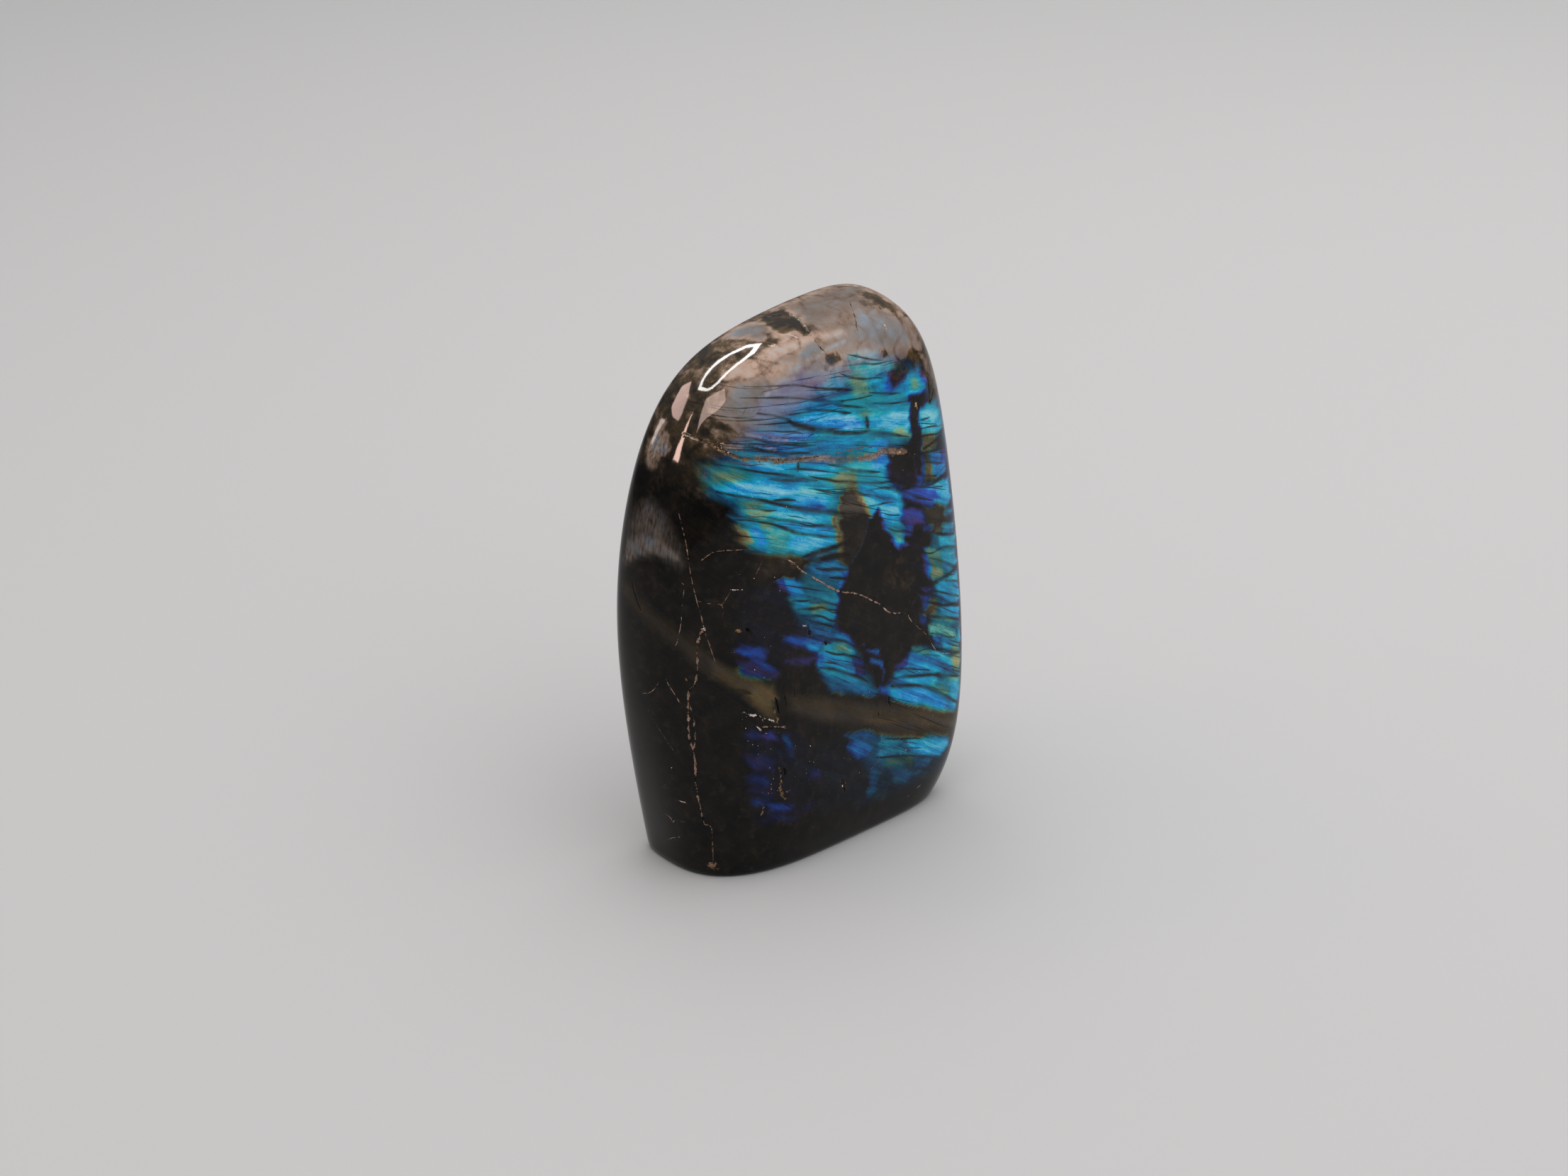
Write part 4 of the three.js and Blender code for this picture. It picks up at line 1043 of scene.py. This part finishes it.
def share_of_width(tree, name):
    """The nearest path of a group: how many half widths away it is, its hue, its distance, and half its width."""
    signed, half, hue = painted_with(tree, name)
    away = sum_of(tree, "DIVIDE", sum_of(tree, "ABSOLUTE", signed), sum_of(tree, "ADD", half, 0.001))
    return away, hue, signed, half


def stretched(tree, xyz, along, height):
    """A place in the stone, drawn out along the sheets."""
    return add_node(tree, "ShaderNodeCombineXYZ", sum_of(tree, "MULTIPLY", xyz["X"], along),
                    sum_of(tree, "MULTIPLY", xyz["Y"], along), height).outputs[0]


def finish_stone(material, sheet_groups, seam_groups):
    """Fills in the material of the polished stone, for meshes that store that many groups of sheets and seams."""
    material.use_nodes = True
    tree = material.node_tree
    shader = tree.nodes["Principled BSDF"]
    place = add_node(tree, "ShaderNodeTexCoord").outputs["Object"]
    point = arrow(tree, "SCALE", place)
    point.node.inputs["Scale"].default_value = 1 / MM
    xyz = add_node(tree, "ShaderNodeSeparateXYZ", point).outputs
    # The height of the sheet that each point lies in, wandering a little
    eased = sum_of(tree, "POWER", sum_of(tree, "DIVIDE", xyz["Z"], 100.0), 3.0)
    fall = sum_of(tree, "MULTIPLY_ADD", eased, -SHEET_FALL_EASE, SHEET_FALL)
    height = sum_of(tree, "MULTIPLY_ADD", xyz["X"], fall, xyz["Z"])
    height = sum_of(tree, "MULTIPLY_ADD", xyz["Y"], -SHEET_RISE, height)
    height = sum_of(tree, "MULTIPLY_ADD", grain_of(tree, point, 0.05, 1.0, 0.5), 2.6, height)
    # Grains drawn out along the sheets, from long lenses to short mottles, and others that run every way
    thin = stretched(tree, xyz, 0.045, height)
    lens = grain_of(tree, thin, 0.55, 1.0, 0.5)
    streak = grain_of(tree, thin, 2.3, 2.0, 0.55)
    speckle = grain_of(tree, point, 3.0, 3.0, 0.65)
    crumble = grain_of(tree, point, 0.8, 2.0, 0.6)
    cloud = grain_of(tree, point, 0.22, 3.0, 0.6)
    wash = grain_of(tree, stretched(tree, xyz, 0.5, height), 0.24, 4.0, 0.55)
    mottle = grain_of(tree, stretched(tree, xyz, 0.35, height), 0.6, 4.0, 0.62)
    blotch = grain_of(tree, point, 0.42, 5.0, 0.66)
    vein = step_between(tree, off_middle(tree, grain_of(tree, point, 0.10, 2.0, 0.5)), 0.06, 0.0)
    # Thin dark sheets, each with a soft shade above it
    sheet, shade = None, None
    for index in range(sheet_groups):
        away, hue, signed, half = share_of_width(tree, f"sheets {index}")
        away = varied(tree, away, streak, 1.2)
        dark = step_between(tree, away, 2.3, 0.2)
        above = sum_of(tree, "MULTIPLY", step_between(tree, signed, 0.75, 0.05), step_between(tree, half, 0.0, 0.2))
        above = sum_of(tree, "MULTIPLY", above, step_between(tree, signed, -0.1, 0.05))
        sheet = dark if sheet is None else sum_of(tree, "MAXIMUM", sheet, dark)
        shade = above if shade is None else sum_of(tree, "MAXIMUM", shade, above)
    broken = sum_of(tree, "MULTIPLY_ADD", step_between(tree, wash, 0.38, 0.56), 0.5, 0.5)
    sheet = sum_of(tree, "MULTIPLY", sheet, broken)
    # Hairlines between the sheets, at two widths
    hair = step_between(tree, off_middle(tree, grain_of(tree, thin, 1.1, 1.0, 0.5)), 0.0, 0.018)
    fine = step_between(tree, off_middle(tree, grain_of(tree, thin, 2.0, 1.0, 0.5)), 0.0, 0.03)
    hair = sum_of(tree, "MULTIPLY", hair, sum_of(tree, "MULTIPLY_ADD", fine, 0.5, 0.5))
    # Flashes over the dark body
    flash = painted_with(tree, "flash")
    tone = sum_of(tree, "MULTIPLY_ADD", sum_of(tree, "SUBTRACT", lens, 0.5), 1.5, flash[0])
    tone = varied(tree, tone, streak, 0.5)
    tone = varied(tree, tone, mottle, 1.3)
    # A blue flash turns violet where it fades
    faded = sum_of(tree, "MULTIPLY", step_between(tree, flash[1], 0.7, 0.1), step_between(tree, flash[0], 3.7, 3.2))
    tone = sum_of(tree, "MULTIPLY_ADD", faded, -0.4, tone)
    colour = tone_ramp(tree, tone)
    lift = varied(tree, 0.97, streak, 0.7)
    lift = varied(tree, lift, lens, 1.7)
    lift = varied(tree, lift, wash, 1.3)
    lift = varied(tree, lift, mottle, 1.5)
    lift = varied(tree, lift, speckle, 0.9)
    lift = sum_of(tree, "MULTIPLY", lift, sum_of(tree, "MULTIPLY_ADD", shade, -0.30, 1.0))
    lit = sum_of(tree, "MULTIPLY", flash[1], lift)
    lit = sum_of(tree, "MULTIPLY", lit, sum_of(tree, "MULTIPLY_ADD", hair, 0.35, 0.65))
    lit = sum_of(tree, "MULTIPLY", lit, sum_of(tree, "MULTIPLY_ADD", sheet, -0.95, 1.0))
    pale = sum_of(tree, "MULTIPLY", sum_of(tree, "SUBTRACT", lit, 1.0), 0.8, clamp=True)
    colour = mixed(tree, pale, colour, (0.38, 0.72, 0.88))
    body = mixed(tree, step_between(tree, cloud, 0.36, 0.70), (0.0025, 0.0022, 0.002), (0.009, 0.0065, 0.0045))
    # Streaks and blotches in the body, and the haze under a strong flash: how much of each there is, and its colour
    for grain, low, high, share, tint in (
            (streak, 0.5, 0.8, 0.10, (0.045, 0.036, 0.024)), (blotch, 0.5, 0.72, 0.45, (0.030, 0.022, 0.014)),
            (flash[1], 0.25, 0.9, 0.4, (0.038, 0.033, 0.028))):
        body = mixed(tree, sum_of(tree, "MULTIPLY", step_between(tree, grain, low, high), share), body, tint)
    base = mixed(tree, sum_of(tree, "MULTIPLY", lit, 1.0, clamp=True), body, colour)
    # Milky films, and the painted reflections of the studio light laid in with them
    film_and_reflection = painted_with(tree, "film_and_reflection")
    film_and_reflection_hue = sum_of(tree, "MULTIPLY_ADD", sum_of(tree, "SUBTRACT", wash, 0.5), 0.8, film_and_reflection[0])
    film_and_reflection_hue = varied(tree, film_and_reflection_hue, blotch, 0.8)
    film_and_reflection_hue = sum_of(tree, "MULTIPLY_ADD", vein, -0.14, film_and_reflection_hue)
    film_and_reflection_colour = blend_of(tree, film_and_reflection_hue, (
        (0.0, (0.014, 0.009, 0.005)), (0.25, (0.10, 0.062, 0.026)), (0.5, (0.47, 0.32, 0.245)),
        (0.75, (0.41, 0.35, 0.32)), (1.0, (0.31, 0.345, 0.40))))
    film_and_reflection_amount = varied(tree, 1.0, streak, 0.3)
    film_and_reflection_amount = varied(tree, film_and_reflection_amount, wash, 0.9)
    flank = step_between(tree, xyz["X"], -31.0, -34.0)
    clouded = sum_of(tree, "MULTIPLY_ADD", flank, -0.5, 0.9)
    clouded = sum_of(tree, "MULTIPLY", sum_of(tree, "SUBTRACT", blotch, 0.5), clouded)
    film_and_reflection_amount = sum_of(tree, "ADD", film_and_reflection_amount, clouded)
    film_and_reflection_amount = sum_of(tree, "MULTIPLY_ADD", vein, -0.22, film_and_reflection_amount)
    # Brush marks that run upright on the left flank, streaking the film and the painted reflection there
    up = sum_of(tree, "MULTIPLY", xyz["Z"], 0.06)
    upright = add_node(tree, "ShaderNodeCombineXYZ", xyz["X"], xyz["Y"], up).outputs[0]
    brush_marks_and_sheen = sum_of(tree, "SUBTRACT", grain_of(tree, upright, 1.6, 2.0, 0.6), 0.5)
    brush_marks_and_sheen = sum_of(tree, "MULTIPLY", brush_marks_and_sheen, sum_of(tree, "MULTIPLY", flank, 2.6))
    film_and_reflection_amount = sum_of(tree, "ADD", film_and_reflection_amount, brush_marks_and_sheen)
    film_and_reflection_amount = sum_of(tree, "MULTIPLY", film_and_reflection_amount, sum_of(tree, "MULTIPLY_ADD", sheet, -0.8, 1.0))
    base = mixed(tree, sum_of(tree, "MULTIPLY", film_and_reflection[1], film_and_reflection_amount, clamp=True), base, film_and_reflection_colour)
    # Seams and cracks
    rough = None
    for index in range(seam_groups):
        away, hue, signed, half = share_of_width(tree, f"seams {index}")
        away = varied(tree, away, speckle, 5.0)
        away = varied(tree, away, crumble, 8.0, 0.46)
        seam = step_between(tree, away, 1.2, 0.45)
        crumb = varied(tree, hue, speckle, 1.6)
        crumb = sum_of(tree, "MINIMUM", crumb, sum_of(tree, "MULTIPLY_ADD", hue, 4.0, 0.02))
        crumb_colour = blend_of(tree, crumb, (
            (0.0, (0.004, 0.003, 0.003)), (0.3, (0.17, 0.10, 0.048)), (0.6, (0.30, 0.18, 0.13)),
            (0.8, (0.55, 0.42, 0.35)), (1.0, (0.75, 0.70, 0.66))))
        base = mixed(tree, seam, base, crumb_colour)
        rough = seam if rough is None else sum_of(tree, "MAXIMUM", rough, seam)
    tree.links.new(base, shader.inputs["Base Color"])
    gloss = sum_of(tree, "MULTIPLY_ADD", rough, 0.42, 0.05)
    tree.links.new(gloss, shader.inputs["Roughness"])
    shader.inputs["IOR"].default_value = 1.5
    shader.inputs["Specular IOR Level"].default_value = 0.18
    # Faint waves that hand polishing leaves
    waves = add_node(tree, "ShaderNodeBump")
    waves.inputs["Strength"].default_value = 0.02
    waves.inputs["Distance"].default_value = 0.0004
    tree.links.new(grain_of(tree, point, 0.35, 2.0, 0.5), waves.inputs["Height"])
    tree.links.new(waves.outputs["Normal"], shader.inputs["Normal"])


# Grains that stand a little proud of the seams

def grain_tree():
    """One small crystal on every point, each turned and sized at random."""
    tree, given = shape_tree(
        "Scattered grains", ("Grain size", "Float"), ("Seed", "Int"), ("Material", "Material"))
    grain = add_node(tree, "GeometryNodeMeshIcoSphere", given["Grain size"]).outputs["Mesh"]
    size = add_node(tree, "GeometryNodeInputNamedAttribute", "size", data_type="FLOAT").outputs["Attribute"]
    turn = add_node(tree, "FunctionNodeRandomValue", data_type="FLOAT_VECTOR")
    stretch = add_node(tree, "FunctionNodeRandomValue", data_type="FLOAT_VECTOR")
    for node, low, high in ((turn, 0.0, 6.28), (stretch, 0.55, 1.35)):
        vectors = [socket for socket in node.inputs if socket.type == "VECTOR"]
        vectors[0].default_value, vectors[1].default_value = (low,) * 3, (high,) * 3
        tree.links.new(given["Seed"], node.inputs["Seed"])
    scale = arrow(tree, "SCALE", stretch.outputs[0])
    tree.links.new(size, scale.node.inputs["Scale"])
    placed = add_node(tree, "GeometryNodeInstanceOnPoints", given["Geometry"], None, grain)
    tree.links.new(turn.outputs[0], placed.inputs["Rotation"])
    tree.links.new(scale, placed.inputs["Scale"])
    return finish_tree(tree, placed.outputs[0], given["Material"])


def grain_places(surface, seams, kind):
    """Where the grains of one kind lie on the skin, and how large each is."""
    chance = np.random.default_rng(GRAIN_SEED + (kind == "pale"))
    found = []
    for middle, spread, count, size, wanted in GRAIN_CLUSTERS:
        if wanted == kind:
            for _ in range(count):
                spot = Vector(np.array(middle) + chance.normal(0, spread / 2, 3))
                found.append((spot, size * chance.uniform(0.5, 1.2)))
    for path, widths, hue, depth in seams:
        fits = 0.25 < hue < 0.5 if kind == "golden" else hue >= 0.5
        if fits and depth > 0.09:
            for index in range(len(path) - 1):
                steps = chance.poisson(np.linalg.norm(path[index + 1] - path[index]) * 0.5)
                for share in chance.uniform(0, 1, steps):
                    spot = path[index] + share * (path[index + 1] - path[index])
                    spot = spot + chance.normal(0, widths[index] / 2, 3)
                    found.append((Vector(spot), 0.5 * widths[index] * chance.uniform(0.4, 1.0)))
    if kind == "pale":
        for _ in range(LONE_SPECKS):
            spot = Vector((chance.uniform(-44, 42), chance.choice((-20, 22)), chance.uniform(4, 118)))
            found.append((Vector(HEART) + (spot - Vector(HEART)).normalized() * 45, chance.uniform(0.07, 0.18)))
    laid_down = []
    for spot, size in found:
        place, out = surface.find_nearest(spot * MM)[:2]
        laid_down.append((place - out * size * 0.8 * MM, size))
    return laid_down


def grain_material(name, colour, rough):
    """A plain material for small crystals."""
    material = bpy.data.materials.new(name)
    material.use_nodes = True
    shader = material.node_tree.nodes["Principled BSDF"]
    shader.inputs["Base Color"].default_value = (*colour, 1)
    shader.inputs["Roughness"].default_value = rough
    return material


def make_grains(surface, seams):
    """Two pieces of small crystals: golden ones and pale ones."""
    tree = grain_tree()
    for kind, colour, rough in (("golden", (0.40, 0.23, 0.09), 0.3), ("pale", (0.66, 0.50, 0.42), 0.35)):
        spots = grain_places(surface, seams, kind)
        start = bpy.data.meshes.new("start")
        start.from_pydata([spot for spot, size in spots], [], [])
        sizes = start.attributes.new("size", "FLOAT", "POINT")
        sizes.data.foreach_set("value", [size for spot, size in spots])
        mesh = run_tree(tree, start, {
            "Grain size": MM, "Seed": GRAIN_SEED, "Material": grain_material(f"{kind} grain", colour, rough)})
        # No grain stands out past the solid's own box
        inside = np.clip(places(mesh) * MM, *(np.array(corner) for corner in cad_box))
        mesh.vertices.foreach_set("co", inside.ravel())
        mesh.update()
        grains = bpy.data.objects.new(f"{kind}_grains", mesh)
        bpy.context.scene.collection.objects.link(grains)
        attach(grains, "root")


def make_stone():
    """The stone in its fine skin: lapped, split where it is detailed, painted, carved, and strewn with grains."""
    material = bpy.data.materials.new("polished labradorite")
    lapping = lapping_tree()
    lapping_values = {
        "Heart": Vector(HEART) * MM, "Crispness": CRISPNESS, "Rim crispness": RIM_CRISPNESS, "Material": material}
    skin = run_tree(block_tree(), bpy.data.meshes.new("start"), {
        "Size": Vector(BLOCK) * MM, "Cells across": BLOCK_CELLS[0], "Cells deep": BLOCK_CELLS[1],
        "Cells up": BLOCK_CELLS[2], "Material": material})
    skin = run_tree(lapping, skin, lapping_values)
    surface = BVHTree.FromPolygons([v.co for v in skin.vertices], [p.vertices for p in skin.polygons])
    sheets = spread_out([(*laid(surface, "front", pairs(text)), 0.0) for text in SHEETS]
                        + [(*path, 0.0) for path in grown_sheets(surface)])
    seams = [(*laid(surface, side, pairs(text)), hue, depth) for side, hue, depth, text in SEAMS]
    # Cells are split where the flashes are fine, and again along every groove
    facing = facings(skin)
    split_cells(skin, (facing[:, 1] < -0.55) | (facing[:, 2] > 0.5))
    skin = run_tree(lapping, skin, lapping_values)
    for reach, spacing, least in SPLITS:
        points, normal = places(skin), facings(skin)
        chosen = np.zeros(len(points), dtype=bool)
        for path, widths, hue, depth in seams:
            if depth > least:
                chosen[beside(points, normal, path, widths.max() * 0.6 + reach)[0]] = True
        split_cells(skin, chosen & coarse(skin, spacing))
        skin = run_tree(lapping, skin, lapping_values)
    points, normal = places(skin), facings(skin)
    shares = {side: side_share(normal, side) for side in SIDES}
    bent = frayed(points)
    paint(skin, "flash", lay_over(bent, shares, FLASHES))
    paint(skin, "film_and_reflection", lay_over(bent, shares, FILMS_AND_PAINTED_REFLECTIONS))
    for index, group in enumerate(sheets):
        paint(skin, f"sheets {index}", path_field(points, normal, group).T)
    seam_groups = spread_out([path[:3] for path in seams])
    for index, group in enumerate(seam_groups):
        paint(skin, f"seams {index}", path_field(points, normal, group).T)
    finish_stone(material, len(sheets), len(seam_groups))
    sunk = carve(points, normal, seams)
    skin.vertices.foreach_set("co", (sunk * MM).ravel())
    skin.update()
    skin.name = "stone"
    stone = bpy.data.objects.new("polished_stone", skin)
    bpy.context.scene.collection.objects.link(stone)
    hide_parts(STONE_NODE)
    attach(stone, "root")
    make_grains(surface, seams)


def coarse(mesh, spacing):
    """Which corners of a mesh have an edge longer than the spacing, in millimetres."""
    points = places(mesh)
    ends = np.empty(len(mesh.edges) * 2, dtype=int)
    mesh.edges.foreach_get("vertices", ends)
    ends = ends.reshape(-1, 2)
    long = np.linalg.norm(points[ends[:, 0]] - points[ends[:, 1]], axis=1) > spacing
    found = np.zeros(len(points), dtype=bool)
    found[ends[long].ravel()] = True
    return found


# The camera stands where the photograph was taken from: 45 degrees round from the wide face, and looking down
def make_camera():
    """The camera, and the way that it looks."""
    turn, pitch, distance = math.radians(-45), math.radians(22), 0.6408
    target = Vector((-0.6, 4.7, 55.4)) * MM
    back = Vector((math.sin(turn) * math.cos(pitch), -math.cos(turn) * math.cos(pitch), math.sin(pitch)))
    lens = bpy.data.cameras.new("camera")
    lens.sensor_width, lens.lens = 36.0, 65.1
    camera = bpy.data.objects.new("camera", lens)
    camera.location = target + back * distance
    camera.rotation_mode = "QUATERNION"
    camera.rotation_quaternion = back.to_track_quat("Z", "Y")
    bpy.context.scene.collection.objects.link(camera)
    bpy.context.scene.camera = camera


# Panels of light, as seen from the middle of the crown: compass angle and height of each corner, in degrees
PANELS = {
    "pink panel": ((1.0, .74, .64), 19.0, "134,67 180,62 176,53 164,44 162,39 164,33 152,43 136,52"),
    "pink sliver": ((1.0, .66, .55), 50.0, "141,41 150,32 161,19 154,19 150,28"),
    "pink shoulder": ((1.0, .70, .62), 22.0, "106,45 122,43 134,36 137,32 131,31 122,32 117,35 107,39"),
    "white patch": ((1.0, .86, .80), 14.0, "120,24 127,27 128,16 123,15"),
}
RING = ((1.0, .98, .96), 45.0,
        "89,51.5 78,51.5 64,50.5 55,49.5 48,51.5 52,58 65,62.5 81,64 98,64 114,62 124,57.5 125,53.5 119,48.5 107,50.5",
        "89,53.1 78,53.1 65,52.1 57,51.4 52,52.6 56,57 68,60.8 82,62.4 97,62.3 111,60.3 120,56.8 121,54 "
     "116,50.6 105,51.9")
PANEL_DISTANCE = 1.15
PANEL_CENTRE = Vector((-0.010, 0.0, 0.105))


def far_place(turn, tilt):
    """The place of a panel's corner."""
    turn, tilt = math.radians(turn), math.radians(tilt)
    return PANEL_CENTRE + PANEL_DISTANCE * Vector(
        (math.cos(tilt) * math.cos(turn), math.cos(tilt) * math.sin(turn), math.sin(tilt)))


def light_panel(name, colour, strength, corners, faces):
    """A glowing panel far off, which shows only as a reflection in the polish."""
    mesh = bpy.data.meshes.new(name)
    mesh.from_pydata([far_place(*corner) for corner in corners], [], faces)
    material = bpy.data.materials.new(name)
    material.use_nodes = True
    tree = material.node_tree
    tree.nodes.remove(tree.nodes["Principled BSDF"])
    glow = add_node(tree, "ShaderNodeEmission", (*colour, 1), strength)
    tree.links.new(glow.outputs[0], tree.nodes["Material Output"].inputs["Surface"])
    mesh.materials.append(material)
    panel = bpy.data.objects.new(name, mesh)
    bpy.context.scene.collection.objects.link(panel)
    panel.visible_camera = False
    panel.visible_diffuse = False


def area_light(name, place, aim, size, radiance, colour, turn=0.0):
    """A soft rectangular light of that radiance, turned about the upright."""
    lamp = bpy.data.lights.new(name, "AREA")
    lamp.shape, lamp.size, lamp.size_y = "RECTANGLE", size[0], size[1]
    lamp.energy, lamp.color = radiance * math.pi * size[0] * size[1], colour
    light = bpy.data.objects.new(name, lamp)
    light.location = place
    light.rotation_mode = "QUATERNION"
    facing = (Vector(place) - Vector(aim)).to_track_quat("Z", "Y")
    light.rotation_quaternion = Quaternion((0, 0, 1), turn) @ facing
    light.visible_camera = False
    light.visible_glossy = False
    bpy.context.scene.collection.objects.link(light)


def make_light():
    """A pale studio, two soft lights, and the panels that the polished crown reflects."""
    world = bpy.data.worlds.new("studio")
    world.use_nodes = True
    tree = world.node_tree
    way = add_node(tree, "ShaderNodeTexCoord").outputs["Generated"]
    up = add_node(tree, "ShaderNodeSeparateXYZ", way).outputs["Z"]
    sky = mixed(tree, step_between(tree, up, 0.05, 0.85), (0.15, 0.15, 0.155), (0.80, 0.79, 0.78))
    tree.links.new(sky, tree.nodes["Background"].inputs["Color"])
    bpy.context.scene.world = world
    area_light("overhead", (0.54, 0.01, 0.90), (0.54, 0.01, 0), (1.90, 1.43), 1.2, (1.0, .965, .93), math.radians(51))
    area_light("front fill", (-0.25, -1.5, 0.85), (0, 0, 0.05), (1.2, 0.9), 1.05, (0.97, 0.98, 1.0))
    for name, (colour, strength, text) in PANELS.items():
        corners = pairs(text)
        light_panel(name, colour, strength, corners, [tuple(range(len(corners)))])
    colour, strength, outer, inner = RING
    outer, inner = pairs(outer), pairs(inner)
    count = len(outer)
    faces = [(i, (i + 1) % count, count + (i + 1) % count, count + i) for i in range(count)]
    light_panel("ring", colour, strength, np.vstack([outer, inner]), faces)


def make_floor():
    """The plain pale floor."""
    mesh = bpy.data.meshes.new("floor")
    mesh.from_pydata([(-6, -6, 0), (6, -6, 0), (6, 6, 0), (-6, 6, 0)], [], [(0, 1, 2, 3)])
    floor = bpy.data.objects.new("floor", mesh)
    bpy.context.scene.collection.objects.link(floor)
    material = bpy.data.materials.new("pale floor")
    material.use_nodes = True
    bsdf = material.node_tree.nodes["Principled BSDF"]
    bsdf.inputs["Base Color"].default_value = (0.47, 0.475, 0.485, 1)
    bsdf.inputs["Roughness"].default_value = 0.85
    mesh.materials.append(material)


bpy.context.scene.view_settings.view_transform = "Standard"
make_camera()
make_light()
make_floor()
make_stone()
